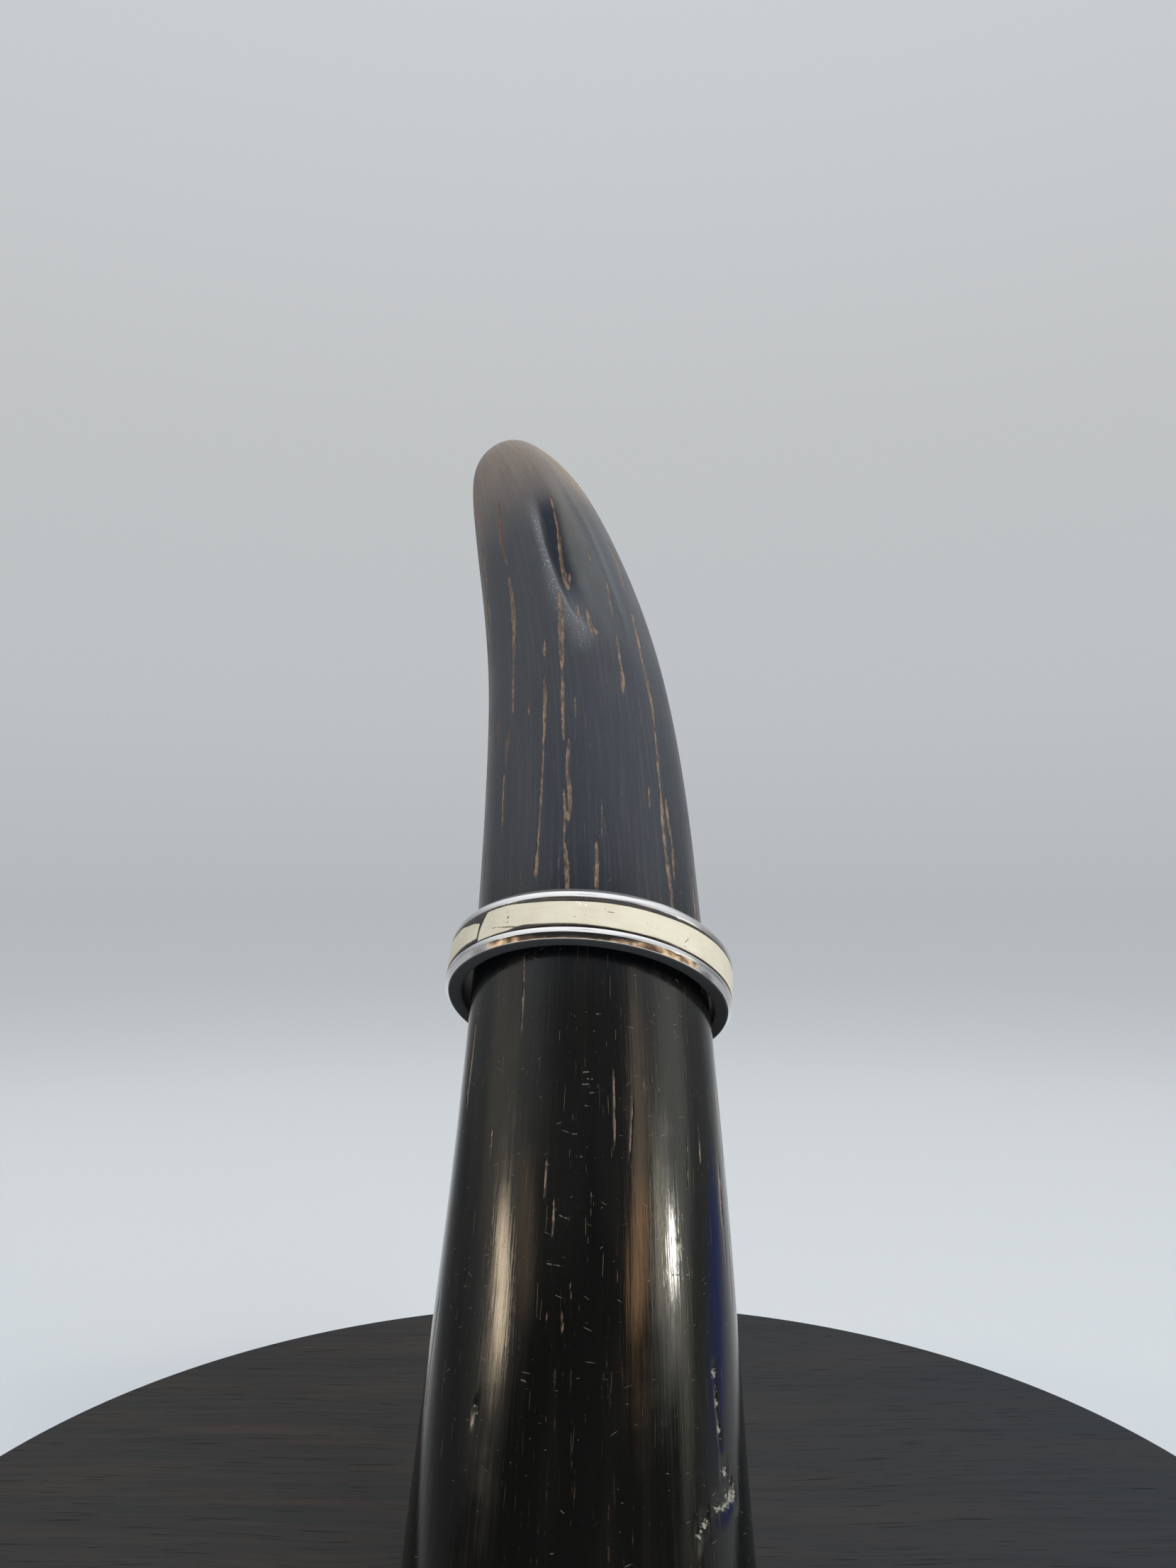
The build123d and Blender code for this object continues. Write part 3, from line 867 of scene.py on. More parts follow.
def spline(knots, values, places):
    """A smooth curve through rows of values at increasing knots, with parabolic ends."""
    count = len(knots)
    gaps = np.diff(knots)
    slopes = np.diff(values, axis=0) / gaps[:, None]
    system = np.zeros((count, count))
    right = np.zeros_like(values)
    for i in range(1, count - 1):
        system[i, i - 1 : i + 2] = gaps[i - 1], 2 * (gaps[i - 1] + gaps[i]), gaps[i]
        right[i] = 6 * (slopes[i] - slopes[i - 1])
    system[0, :2] = system[-1, -2:] = 1, -1
    bends = np.linalg.solve(system, right)
    span = np.clip(np.searchsorted(knots, places, side="right") - 1, 0, count - 2)
    x = (places - knots[span])[:, None]
    gap = gaps[span][:, None]
    low, high = bends[span], bends[span + 1]
    return (
        values[span]
        + x * (slopes[span] - gap * (2 * low + high) / 6)
        + x**2 * low / 2
        + x**3 * (high - low) / (6 * gap)
    )


def smooth(value, low, high):
    """The smooth step from low to high, which may also run down."""
    share = np.clip((value - low) / (high - low), 0, 1)
    return share * share * (3 - 2 * share)


def ripple(seed, *grids):
    """Smooth seeded unevenness from -1 to 1 over grids of angles (in radians) and lengths."""
    random = np.random.default_rng(seed)
    total = np.zeros(np.broadcast(*grids).shape)
    waves = 7
    for _ in range(waves):
        turns = random.integers(1, 6)
        rate = random.uniform(0.5, 2.2)
        total += np.sin(turns * grids[0] + rate * grids[1] + random.uniform(0, 2 * math.pi))
    return total / waves


def closeness(places, lines, reach=2.0):
    """How near each place (angle as a length, height) is to broken lines, 1 on a line and 0.5 at its edge."""
    best = np.zeros(places.shape[:-1])
    for half_width, strength, points in lines:
        points = np.array(points, float)
        if len(points) == 1:
            points = np.vstack([points, points + 1e-4])
        span = reach * half_width
        near = np.all((places > points.min(axis=0) - span) & (places < points.max(axis=0) + span), axis=-1)
        beside = places[near]
        steps = np.linalg.norm(np.diff(points, axis=0), axis=1)
        run = np.concatenate([[0], np.cumsum(steps)])
        for i, step in enumerate(steps):
            direction = (points[i + 1] - points[i]) / step
            offset = beside - points[i]
            share = np.clip(offset @ direction, 0, step)
            distance = np.linalg.norm(offset - share[..., None] * direction, axis=-1)
            middle = (run[i] + share) / run[-1]
            taper = 0.45 + 0.55 * np.sin(np.pi * np.clip(middle, 0.02, 0.98)) ** 0.5
            width = span * (taper if run[-1] > 4 * half_width else 1.0)
            best[near] = np.maximum(best[near], strength * np.clip(1 - distance / width, 0, 1))
    return best


def quads_mesh(name, grids, faces):
    """A smooth mesh from grids of points in metres and lists of vertex numbers, its faces turned outward."""
    mesh = bpy.data.meshes.new(name)
    points = np.concatenate([grid.reshape(-1, 3) for grid in grids])
    mesh.from_pydata(points.tolist(), [], [tuple(face) for face in faces])
    mesh.validate()
    corners = np.array([points[list(face[:3])] for face in faces])
    volume = np.einsum("ij,ij->i", corners[:, 0], np.cross(corners[:, 1], corners[:, 2])).sum()
    volume += sum(
        points[face[0]] @ np.cross(points[face[2]], points[face[3]]) for face in faces if len(face) == 4
    )
    if volume < 0:
        mesh.flip_normals()
    mesh.shade_smooth()
    mesh.update()
    return mesh


def turned_mesh(name, rings, closed=False):
    """A mesh through rings of points (ring, step, xyz); a ring of equal points is closed as a pole."""
    count, steps = rings.shape[:2]
    number = np.arange(count * steps).reshape(count, steps)
    following = np.roll(number, -1, axis=1)
    faces = []
    pairs = list(zip(range(count - 1), range(1, count)))
    if closed:
        pairs.append((count - 1, 0))
    for low, high in pairs:
        quads = np.stack([number[low], following[low], following[high], number[high]], axis=1)
        if np.ptp(rings[low], axis=0).max() == 0:
            quads = np.stack([np.full(steps, number[low, 0]), following[high], number[high]], axis=1)
        elif np.ptp(rings[high], axis=0).max() == 0:
            quads = np.stack([number[low], following[low], np.full(steps, number[high, 0])], axis=1)
        faces.extend(quads.tolist())
    return quads_mesh(name, [rings], faces)


def revolved_mesh(name, outline, steps, forward=0.0):
    """A mesh from an outline of radii and heights, turned about an upright axis."""
    radius, height = np.array(outline, float).T[..., None]
    turn = np.linspace(0, 2 * math.pi, steps, endpoint=False)
    parts = radius * np.sin(turn), -forward - radius * np.cos(turn), height
    return turned_mesh(name, np.stack(np.broadcast_arrays(*parts), axis=-1))


def add_piece(name, mesh, material, slot, *nodes):
    """A finished piece at the origin that rides on the body and stands for CAD nodes."""
    mesh.name = name
    mesh.materials.clear()
    mesh.materials.append(material)
    piece = bpy.data.objects.new(name, mesh)
    bpy.context.scene.collection.objects.link(piece)
    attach(piece, "root")
    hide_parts(*nodes)


def set_values(mesh, name, values):
    """Stores one number a vertex."""
    mesh.attributes.new(name, "FLOAT", "POINT").data.foreach_set("value", values.ravel().astype(np.float32))


def new_carrier(mesh):
    """An object that carries modifiers for a while."""
    carrier = bpy.data.objects.new(mesh.name, mesh)
    bpy.context.scene.collection.objects.link(carrier)
    return carrier


def discard(carrier):
    """Takes away a carrier and its mesh."""
    mesh = carrier.data
    bpy.data.objects.remove(carrier)
    bpy.data.meshes.remove(mesh)


def settled(carrier):
    """The plain mesh that a carrier's modifiers make, its modifiers and the carrier being taken away."""
    depsgraph = bpy.context.evaluated_depsgraph_get()
    mesh = bpy.data.meshes.new_from_object(carrier.evaluated_get(depsgraph))
    discard(carrier)
    return mesh


def inlay_limits(sizes):
    """Outer radius of the band, and the inlay channel's floor, lower and upper edge, as numbers or wires."""
    outer = sizes.bore_radius + sizes.wall
    low = sizes.bevel_width + sizes.lower_land
    high = sizes.width - sizes.bevel_width - sizes.upper_land
    return outer, outer - sizes.channel_depth, low, high


BAND_INPUTS = (
    "bore_radius",
    "wall",
    "width",
    "bevel_depth",
    "bevel_width",
    "lower_land",
    "upper_land",
    "channel_depth",
    "bore_rounding",
    "edge_rounding",
    "land_crown",
)


def band_tree():
    """Geometry nodes that sweep the band's rounded profile around a circle."""
    tree = bpy.data.node_groups.new("swept_band", "GeometryNodeTree")
    for name in BAND_INPUTS:
        tree.interface.new_socket(name, in_out="INPUT", socket_type="NodeSocketFloat")
    tree.interface.new_socket("segments", in_out="INPUT", socket_type="NodeSocketInt")
    tree.interface.new_socket("metal", in_out="INPUT", socket_type="NodeSocketMaterial")
    tree.interface.new_socket("Geometry", in_out="OUTPUT", socket_type="NodeSocketGeometry")
    nodes = Nodes(tree)
    given = nodes.add("NodeGroupInput").socket.node
    names = (*BAND_INPUTS, "segments", "metal")
    size = SimpleNamespace(**{name: Wire(nodes, given.outputs[name]) for name in names})

    # Corners of the profile: radius, height and rounding
    outer, floor, low, high = inlay_limits(size)
    side = outer - size.bevel_depth
    high_bevel = size.width - size.bevel_width
    edge = size.edge_rounding
    shoulder = outer - size.land_crown
    bulge = size.wall * 0.5
    corners = [
        (size.bore_radius, 0.0, size.bore_rounding),
        (side, 0.0, edge * 3),
        (shoulder, size.bevel_width, edge),
        (outer, size.bevel_width + size.lower_land * 0.5, bulge),
        (shoulder, low, edge * 0.6),
        (floor, low, 0.0),
        (floor, high, 0.0),
        (shoulder, high, edge * 0.6),
        (outer, high + size.upper_land * 0.5, bulge),
        (shoulder, high_bevel, edge),
        (side, size.width, edge * 3),
        (size.bore_radius, size.width, size.bore_rounding),
    ]
    index = nodes.add("GeometryNodeInputIndex")

    def by_corner(column):
        """A column of the corners, of which each point takes its own value."""
        values = {str(i): corner[column] for i, corner in enumerate(corners)}
        return nodes.add(
            "GeometryNodeIndexSwitch",
            {"data_type": "FLOAT", "item_count": len(corners)},
            {"Index": index, **values},
        )

    # The profile's x runs outward from the path, a circle in the wall's middle, and its y downward
    path_radius = size.bore_radius + size.wall * 0.5
    chain = nodes.add("GeometryNodeMeshLine", {"mode": "OFFSET"}, {"Count": len(corners)})
    chain = nodes.add("GeometryNodeMeshToCurve", (), {"Mesh": chain})
    place = nodes.join(by_corner(0) - path_radius, 0.0 - by_corner(1), 0.0)
    chain = nodes.add("GeometryNodeSetPosition", (), {"Geometry": chain, "Position": place})
    chain = nodes.add("GeometryNodeSetSplineCyclic", (), {"Geometry": chain, "Cyclic": True})
    profile = nodes.add(
        "GeometryNodeFilletCurve",
        {"mode": "POLY"},
        {"Curve": chain, "Count": 5, "Radius": by_corner(2), "Limit Radius": True},
    )
    circle = nodes.add(
        "GeometryNodeCurvePrimitiveCircle", (), {"Resolution": size.segments, "Radius": path_radius}
    )
    circle = nodes.add("GeometryNodeSetCurveNormal", {"mode": "Z_UP"}, {"Curve": circle})
    band = nodes.add("GeometryNodeCurveToMesh", (), {"Curve": circle, "Profile Curve": profile})
    band = nodes.add("GeometryNodeFlipFaces", (), {"Mesh": band})
    band = nodes.add("GeometryNodeSetShadeSmooth", (), {"Geometry": band})
    band = nodes.add("GeometryNodeRealizeInstances", (), {"Geometry": band})
    band = nodes.add("GeometryNodeSetMaterial", (), {"Geometry": band, "Material": size.metal})
    nodes.add("NodeGroupOutput", (), {"Geometry": band})
    return tree


class RING_OT_band(bpy.types.Operator):
    """Build the polished metal band from geometry nodes"""

    bl_idname = "inlay_ring.band"
    bl_label = "Metal band"

    def execute(self, context):
        sizes = context.scene.ring_sizes
        material = metal_material(context.scene.finish_colours, sizes)
        tree = band_tree()
        carrier = new_carrier(bpy.data.meshes.new("swept_band"))
        maker = carrier.modifiers.new("Swept band", "NODES")
        maker.node_group = tree
        values = {name: getattr(sizes, name) for name in (*BAND_INPUTS, "segments")}
        values["metal"] = material
        for item in tree.interface.items_tree:
            if item.in_out == "INPUT":
                maker[item.identifier] = values[item.name]
        mesh = settled(carrier)
        mesh.transform(ring_matrix(sizes.width))

        # Flat lands and bevels keep flat shading between their rounded edges
        carrier = new_carrier(mesh)
        weights = carrier.modifiers.new("Flat lands", "WEIGHTED_NORMAL")
        weights.mode = "FACE_AREA"
        weights.weight = 100
        add_piece("metal_band", settled(carrier), material, "band_metal", "ring_band")
        return {"FINISHED"}


def ring_points(sizes, angle, radius, height):
    """Points in the frame from angles, radii and heights in the ring's own axes."""
    own = np.stack(
        np.broadcast_arrays(radius * np.sin(angle), -radius * np.cos(angle), height), axis=-1
    )
    matrix = np.array(ring_matrix(sizes.width))
    return own @ matrix[:3, :3].T + matrix[:3, 3]


class RING_OT_resin(bpy.types.Operator):
    """Build the dark resin bed in the band's channel"""

    bl_idname = "inlay_ring.resin"
    bl_label = "Resin bed"

    def execute(self, context):
        sizes = context.scene.ring_sizes
        inlay = context.scene.inlay_sizes
        outer, floor, low, high = inlay_limits(sizes)
        angle = np.linspace(0, 2 * math.pi, sizes.segments, endpoint=False)
        share = np.linspace(0, 1, RESIN_ROWS)[:, None]
        height = low + share * (high - low)
        uneven = ripple(5, angle[None, :] * 3, share * 4) * 0.006 * MM
        surface = outer - inlay.resin_sink + uneven
        top = ring_points(sizes, angle, surface, height)
        bottom = ring_points(sizes, angle, floor, np.array([[high], [low]]) + 0 * angle)
        mesh = turned_mesh("resin_bed", np.concatenate([top, bottom]), closed=True)
        material = resin_material(context.scene.finish_colours, sizes)
        add_piece("resin_bed", mesh, material, "dark_resin", "inlay_resin")
        return {"FINISHED"}


def plate_mesh(name, rows, sizes, inlay, start, end, reach, bow):
    """A closed bone plate with rounded outer edges between its slanted end and the hidden seam."""
    outer, _, channel_low, channel_high = inlay_limits(sizes)
    rounding = inlay.bone_rounding
    table = np.array(rows)
    width = channel_high - channel_low

    # Steps along the plate and across it crowd at the rounded edges
    near = np.array([0, 0.1, 0.3, 0.6, 1.0]) * rounding
    length = abs(end - start) * outer
    edge = 0.16 * MM
    along = np.concatenate([near, np.linspace(edge, length - edge, PLATE_STEPS), length - near[::-1]])
    turn = along / length
    under, over = spline(table[:, 0], table[:, 1:], turn).T
    uneven = ripple(11 if end > start else 12, turn * 40, turn * 3) * 0.012 * MM
    low = channel_low + width * under + uneven
    high = channel_high - width * over + np.roll(uneven, 50)
    middle = np.linspace(0, 1, PLATE_ROWS)
    border = 0.1 * MM
    height = np.concatenate(
        [
            low[:, None] + near,
            low[:, None] + border + (high - low - 2 * border)[:, None] * middle,
            high[:, None] - near[::-1],
        ],
        axis=1,
    )

    # The visible end is bowed: its reach depends on the height
    share = np.clip((height - channel_low) / width, 0, 1)
    curve = 2 * (1 - 2 * bow) * share**2 + (4 * bow - 1) * share
    angle = start + curve * reach / outer + turn[:, None] * (end - start - curve * reach / outer)
    edge_distance = np.minimum.reduce(
        [
            height - low[:, None],
            high[:, None] - height,
            np.broadcast_to(along[:, None], height.shape),
            np.broadcast_to(length - along[:, None], height.shape),
        ]
    )
    inset = np.clip(rounding - edge_distance, 0, rounding)
    skin = ripple(21, angle * 5, height / MM * 2) * 0.005 * MM
    radius = outer - rounding + np.sqrt(rounding**2 - inset**2) + skin
    outside = ring_points(sizes, angle, radius, height)
    inside = ring_points(sizes, angle, outer - inlay.bone_thickness, height)

    # Outer skin, inner skin, and the four walls between them
    count, steps = height.shape
    number = np.arange(count * steps).reshape(count, steps)
    back = number + number.size
    faces = []
    for grid in (number, back[::-1]):
        quads = np.stack([grid[:-1, :-1], grid[1:, :-1], grid[1:, 1:], grid[:-1, 1:]], axis=-1)
        faces.extend(quads.reshape(-1, 4).tolist())
    rim = np.concatenate([number[0, :-1], number[:-1, -1], number[-1, :0:-1], number[:0:-1, 0]])
    after = np.roll(rim, -1)
    faces.extend(np.stack([rim, after, after + number.size, rim + number.size], axis=1).tolist())
    mesh = quads_mesh(name, [outside, inside], faces)

    # Marks are given by angle, which becomes a length round the band
    around = outer / MM
    places = np.stack([angle * around, height / MM], axis=-1)
    for label, table in (("crack", BONE_CRACKS), ("speck", BONE_SPECKS), ("glint", BONE_PAINTED_GLINTS)):
        marks = [
            (half_width, 1.0, [(math.radians(turned) * around, level) for turned, level in points])
            for half_width, points in table
        ]
        value = closeness(places, marks, reach=2.5)
        set_values(mesh, label, np.concatenate([value, 0 * value]))
    rim_value = np.clip(1 - edge_distance / (0.22 * MM), 0, 1)
    set_values(mesh, "rim", np.concatenate([rim_value, rim_value]))
    return mesh


class RING_OT_bones(bpy.types.Operator):
    """Build the two bone plates of the inlay"""

    bl_idname = "inlay_ring.bones"
    bl_label = "Bone plates"

    def execute(self, context):
        sizes = context.scene.ring_sizes
        inlay = context.scene.inlay_sizes
        material = bone_material(context.scene.finish_colours, sizes)
        gap = inlay.seam_width / 2 / (sizes.bore_radius + sizes.wall)
        long_ends = inlay.long_end_angle, inlay.hidden_seam - gap
        long_slant = inlay.long_end_reach, inlay.long_end_bow
        short_ends = inlay.short_end_angle, inlay.hidden_seam + gap - 2 * math.pi
        short_slant = inlay.short_end_reach, inlay.short_end_bow
        for name, node, rows, ends, slant in (
            ("long_bone_plate", "bone_front", LONG_BONE, long_ends, long_slant),
            ("short_bone_plate", "bone_back", SHORT_BONE, short_ends, short_slant),
        ):
            mesh = plate_mesh(name, rows, sizes, inlay, *ends, *slant)
            add_piece(name, mesh, material, "bone", node)
        return {"FINISHED"}


def horn_foot(sizes):
    """The middle of the horn's foot, in millimetres."""
    return np.array([0, -sizes.foot_forward / MM, BASE_BOX[1].z / MM])


def horn_frames(sizes, places):
    """Centre, half width and half depth vectors at places from 0 to 1, and the distance along the horn."""
    table = np.array(HORN_SECTIONS)
    length = sizes.length / MM
    half_width = sizes.foot_width / 2 / MM
    lean = sizes.lean
    along = np.array([0, math.sin(lean), math.cos(lean)])
    across = np.array([0, math.cos(lean), -math.sin(lean)])
    foot = horn_foot(sizes)
    centres = foot + table[:, :1] * length * along + table[:, 2:] * length * np.array([1, 0, 0])
    rows = []
    for i, (_, share, _) in enumerate(table):
        if i == 0:
            wide = np.array([half_width, 0, 0])
            deep = np.array([0, half_width * sizes.ovality / math.cos(lean), 0])
        else:
            direction = centres[min(i + 1, len(table) - 1)] - centres[i - 1]
            direction /= np.linalg.norm(direction)
            deep = across - direction * (across @ direction)
            deep /= np.linalg.norm(deep)
            wide = np.cross(deep, direction)
            wide *= share * half_width * math.copysign(1, wide[0])
            deep = deep * share * half_width * sizes.ovality
        rows.append(np.concatenate([centres[i], wide, deep]))
    rows = np.array(rows)

    # The curve's knots follow the mean way of the sections' four outermost points
    centre, wide, deep = rows[:, :3], rows[:, 3:6], rows[:, 6:]
    reach = np.stack([centre + wide, centre - wide, centre + deep, centre - deep], axis=1)
    steps = np.sqrt(np.linalg.norm(np.diff(reach, axis=0), axis=2).mean(axis=1))
    knots = np.concatenate([[0], np.cumsum(steps)])
    frames = spline(knots / knots[-1], rows, places)
    return frames, (frames[:, :3] - foot) @ along


def hidden_fibres():
    """Seeded fibres for the sides and back of the horn, which are as streaked as its front."""
    random = np.random.default_rng(8)
    table = []
    for _ in range(HIDDEN_FIBRES):
        start = random.uniform(16, 88)
        angle = random.uniform(72, 288) if start > 52 else random.uniform(62, 298)
        angle = (angle + 180) % 360 - 180
        run = random.uniform(2.5, 13)
        drift = random.uniform(-0.35, 0.35)
        points = [(start + run * share, angle + drift * run * share) for share in (0, 0.35, 0.7, 1)]
        strength = random.uniform(0.4, 1.0) * (1.0 if start > 50 else 0.75)
        table.append((random.uniform(0.14, 0.4), strength, random.uniform(0, 0.8), points))
    return table


class HornGrid:
    """Places on the plain horn, in rows along it and columns round it: angle, distance, radius, skin."""

    def __init__(self, sizes):
        dense = np.linspace(0, 1, HORN_PLACES)
        frames, distance = horn_frames(sizes, dense)
        radii = np.linalg.norm(frames[:, 3:6], axis=1)

        # Rows crowd from the dent upward. Columns crowd at the front, where the fibres are fine
        weight = 1 + 1.2 * smooth(distance, 72, DENT_DEEPEST)
        run = np.concatenate([[0], np.cumsum(weight[1:] * np.hypot(np.diff(distance), np.diff(radii)))])
        places = np.interp(np.linspace(0, run[-1], sizes.rows), run, dense)
        frames, distance = horn_frames(sizes, places)
        even = np.linspace(-math.pi, math.pi, sizes.columns, endpoint=False)
        self.angle = even - 0.5 * np.sin(even)
        self.distance = distance[:, None]
        self.radius = np.linalg.norm(frames[:, 3:6], axis=1)[:, None]
        centre, wide, deep = (frames[:, None, i : i + 3] for i in (0, 3, 6))
        self.skin = centre + wide * np.sin(self.angle)[:, None] - deep * np.cos(self.angle)[:, None]
        self.outward = self.skin - centre
        self.outward /= np.linalg.norm(self.outward, axis=2, keepdims=True)

    def near(self, table):
        """Closeness to a table's lines. One near the seam at the back counts on both sides of it."""
        lines = []
        for width, strength, _, points in table:
            level = np.array([distance for distance, _ in points])
            turned = np.radians([angle for _, angle in points])
            radius = np.interp(level, self.distance[:, 0], self.radius[:, 0])
            lines.append((width / 2, strength, np.stack([turned * radius, level], axis=1)))
        flat = np.stack(np.broadcast_arrays(self.angle * self.radius, self.distance), axis=-1)
        turn = 2 * math.pi * self.radius[..., None] * np.array([1, 0])
        return np.maximum.reduce([closeness(flat + shift, lines) for shift in (0, turn, -turn)])

    def beside(self, line):
        """Distance across the horn from a line to every place, positive on its right."""
        level, turned = np.array(line)[::-1].T
        return (self.angle - np.radians(np.interp(self.distance, level, turned))) * self.radius


def horn_relief(grid, dent_depth, fibre, chip, from_crest, from_soft):
    """How far each place stands out from the plain horn."""
    distance = grid.distance

    # The dent: steep under its top and beside its crest on the left, easy to the right and below
    lengthwise = smooth(distance, DENT_TOP, DENT_DEEPEST) * smooth(distance, DENT_FOOT, DENT_DEEPEST)
    wall = smooth(from_crest, -0.1, 0.7)
    ease = 1 - smooth(from_crest, 1.5, 4.4)
    dent = dent_depth * lengthwise * wall * ease
    fall = smooth(distance, 89.5, 86.0) * smooth(distance, DENT_FOOT, 78.0)
    lip = fall * np.exp(-((from_crest + 0.1) ** 2) / 0.12)

    # A soft long edge on the right, and gentle unevenness that leaves the ring's seat alone
    fade = smooth(distance, 68, 80) * smooth(distance, 98.5, 94)
    ridge = 0.22 * fade * np.exp(-((from_soft / np.where(from_soft > 0, 0.7, 1.5)) ** 2))
    calm = smooth(np.abs(distance - RING_SEAT), 5, 13) * smooth(distance, 97, 91)
    uneven = 0.05 * ripple(3, grid.angle, distance * 0.14) * calm
    grooves = 0.04 * smooth(fibre, 0.3, 0.8) + 0.10 * smooth(chip, 0.35, 0.75)
    return uneven + ridge + 0.07 * lip - dent - grooves


def horn_values(grid, from_crest, from_soft):
    """Numbers that the horn's finish reads for the dent, its painted shade and painted gleam, a painted
    sheen, and paler horn.
    """
    angle, distance = grid.angle, grid.distance

    # The painted gleam on the dent's crest widens downward. Beside it lies the dent's blue core, painted
    # shade
    gleam = smooth(distance, 91, 87) * smooth(distance, 73.5, 77.0)
    gleam_width = 0.30 + 0.45 * smooth(distance, 86, 77)
    # The dent's painted shade
    core = smooth(distance, 91.0, 88.5) * smooth(distance, 78.5, 83.0)

    # Paler horn: a patch right of the tip and the left edge. Right of the dent lies a painted sheen, which
    # also pales the tip a little
    patch = np.exp(-(((angle - 0.95) / 0.30) ** 2)) * smooth(distance, 89, 94)
    left = 0.40 * np.exp(-(((angle + 1.35) / 0.45) ** 2)) * smooth(distance, 82, 93)
    haze = smooth(from_crest, 1.5, 2.6) * smooth(from_soft, 0.4, -0.6) * smooth(distance, 72, 86)
    return {
        "crest": gleam * np.exp(-(((from_crest + 0.2) / gleam_width) ** 2)),
        "dent": core * smooth(from_crest, 0.1, 0.6) * smooth(from_crest, 2.6, 1.5),
        "pale": patch + left + 0.2 * haze,
        "haze": haze,
    }


class RING_OT_horn(bpy.types.Operator):
    """Build the tapered horn with its dent, fibres and chips"""

    bl_idname = "inlay_ring.horn"
    bl_label = "Horn"

    def execute(self, context):
        sizes = context.scene.horn_sizes
        grid = HornGrid(sizes)
        fibres = HORN_FIBRES + hidden_fibres()
        fibre = grid.near(fibres)
        red = grid.near([row for row in fibres if row[2] > 0.45])
        chip = grid.near(HORN_CHIPS)
        from_crest, from_soft = grid.beside(DENT_CREST), grid.beside(SOFT_EDGE)
        relief = horn_relief(grid, sizes.dent_depth / MM, fibre, chip, from_crest, from_soft)
        skin = grid.skin + grid.outward * relief[..., None]

        # Foot with the pin's hole, and the tip's pole
        foot = horn_foot(sizes)
        hole = sizes.pin_hole_radius / MM
        sine, cosine = np.sin(grid.angle), np.cos(grid.angle)
        circle = np.stack([sine, -cosine, 0 * sine], axis=1) * hole + foot
        lift = np.array([0, 0, sizes.pin_hole_depth / MM])
        hole_top = np.broadcast_to(foot + lift, circle.shape)
        tip = np.broadcast_to(skin[-1].mean(axis=0), circle.shape)
        rings = np.concatenate([[hole_top, circle + lift, circle], skin, [tip]])
        mesh = turned_mesh("curved_horn", rings * MM)
        mesh.set_sharp_from_angle(angle=math.radians(50))

        # The foot's rings carry no marks
        values = {"fibre": fibre, "fibre_red": np.clip(red * 1.6, 0, 1), "chip": chip}
        values.update(horn_values(grid, from_crest, from_soft))
        for name, value in values.items():
            set_values(mesh, name, np.concatenate([0 * value[:FOOT_RINGS], value, value[-1:]]))

        # An unbent place for the patterns, which follow the fibres and have no seam
        parts = BARREL * sine, -BARREL * cosine, grid.distance
        straight = np.stack(np.broadcast_arrays(*parts), axis=-1)
        under = np.repeat(straight[:1], FOOT_RINGS, axis=0)
        straight = np.concatenate([under, straight, straight[-1:]])
        places = mesh.attributes.new("straight", "FLOAT_VECTOR", "POINT")
        places.data.foreach_set("vector", straight.ravel().astype(np.float32))
        material = horn_material(context.scene.finish_colours)
        add_piece("curved_horn", mesh, material, "polished_horn", "horn")
        return {"FINISHED"}


class RING_OT_base(bpy.types.Operator):
    """Build the round wooden base and give the hidden pin its steel"""

    bl_idname = "inlay_ring.base"
    bl_label = "Base and pin"

    def execute(self, context):
        colours = context.scene.finish_colours
        sizes = context.scene.base_sizes
        horn = context.scene.horn_sizes
        radius, top = sizes.radius, sizes.thickness
        rim, chamfer = sizes.rim_rounding, sizes.foot_chamfer
        arc = np.linspace(0, math.pi / 2, 12)
        outline = [(0, 0)]
        outline += [(r, 0) for r in np.linspace(0.1, 0.98, 12) * (radius - chamfer)]
        outline += [(radius - chamfer, 0), (radius, chamfer), (radius, chamfer + 0.4 * MM)]
        outline += [(radius, z) for z in np.linspace(0.2, 0.95, 6) * (top - rim)]
        outline += [(radius - rim + rim * math.cos(a), top - rim + rim * math.sin(a)) for a in arc]
        outline += [(r, top) for r in np.linspace(0.99, 0.03, 30) * (radius - rim)]
        outline += [(0, top)]
        carrier = new_carrier(revolved_mesh("whole_base", outline, BASE_STEPS))

        # The pin's hole is cut with a plain cylinder, which then goes
        hole, floor = horn.pin_hole_radius, top - sizes.pin_hole_depth
        outline = [(0, floor), (hole, floor), (hole, top + MM), (0, top + MM)]
        drill = new_carrier(revolved_mesh("pin_drill", outline, HOLE_STEPS, horn.foot_forward))
        cut = carrier.modifiers.new("Pin hole", "BOOLEAN")
        cut.operation = "DIFFERENCE"
        cut.object = drill
        mesh = settled(carrier)
        discard(drill)
        mesh.set_sharp_from_angle(angle=math.radians(35))
        add_piece("wooden_base", mesh, wood_material(colours), "dark_wood", "stand_base")

        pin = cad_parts["fixing_pin"]
        pin.material_slots[0].link = "OBJECT"
        pin.material_slots[0].material = steel_material(colours)
        return {"FINISHED"}


def heading(azimuth, rise):
    """The direction at an azimuth from the viewer's side towards +X and a rise, in degrees."""
    turn, lift = math.radians(azimuth), math.radians(rise)
    return Vector((math.sin(turn) * math.cos(lift), -math.cos(turn) * math.cos(lift), math.sin(lift)))


def add_lamp(name, place, aim, size, power, colour, mirrored=True):
    """A soft area lamp that the camera doesn't see, and that polished pieces mirror if asked."""
    light = bpy.data.lights.new(name, "AREA")
    light.shape = "ELLIPSE"
    light.size, light.size_y = size
    light.energy = power
    light.color = colour
    lamp = bpy.data.objects.new(name, light)
    lamp.location = place
    lamp.rotation_euler = (aim - place).to_track_quat("-Z", "Y").to_euler()
    lamp.visible_camera = False
    lamp.visible_glossy = mirrored
    bpy.context.scene.collection.objects.link(lamp)


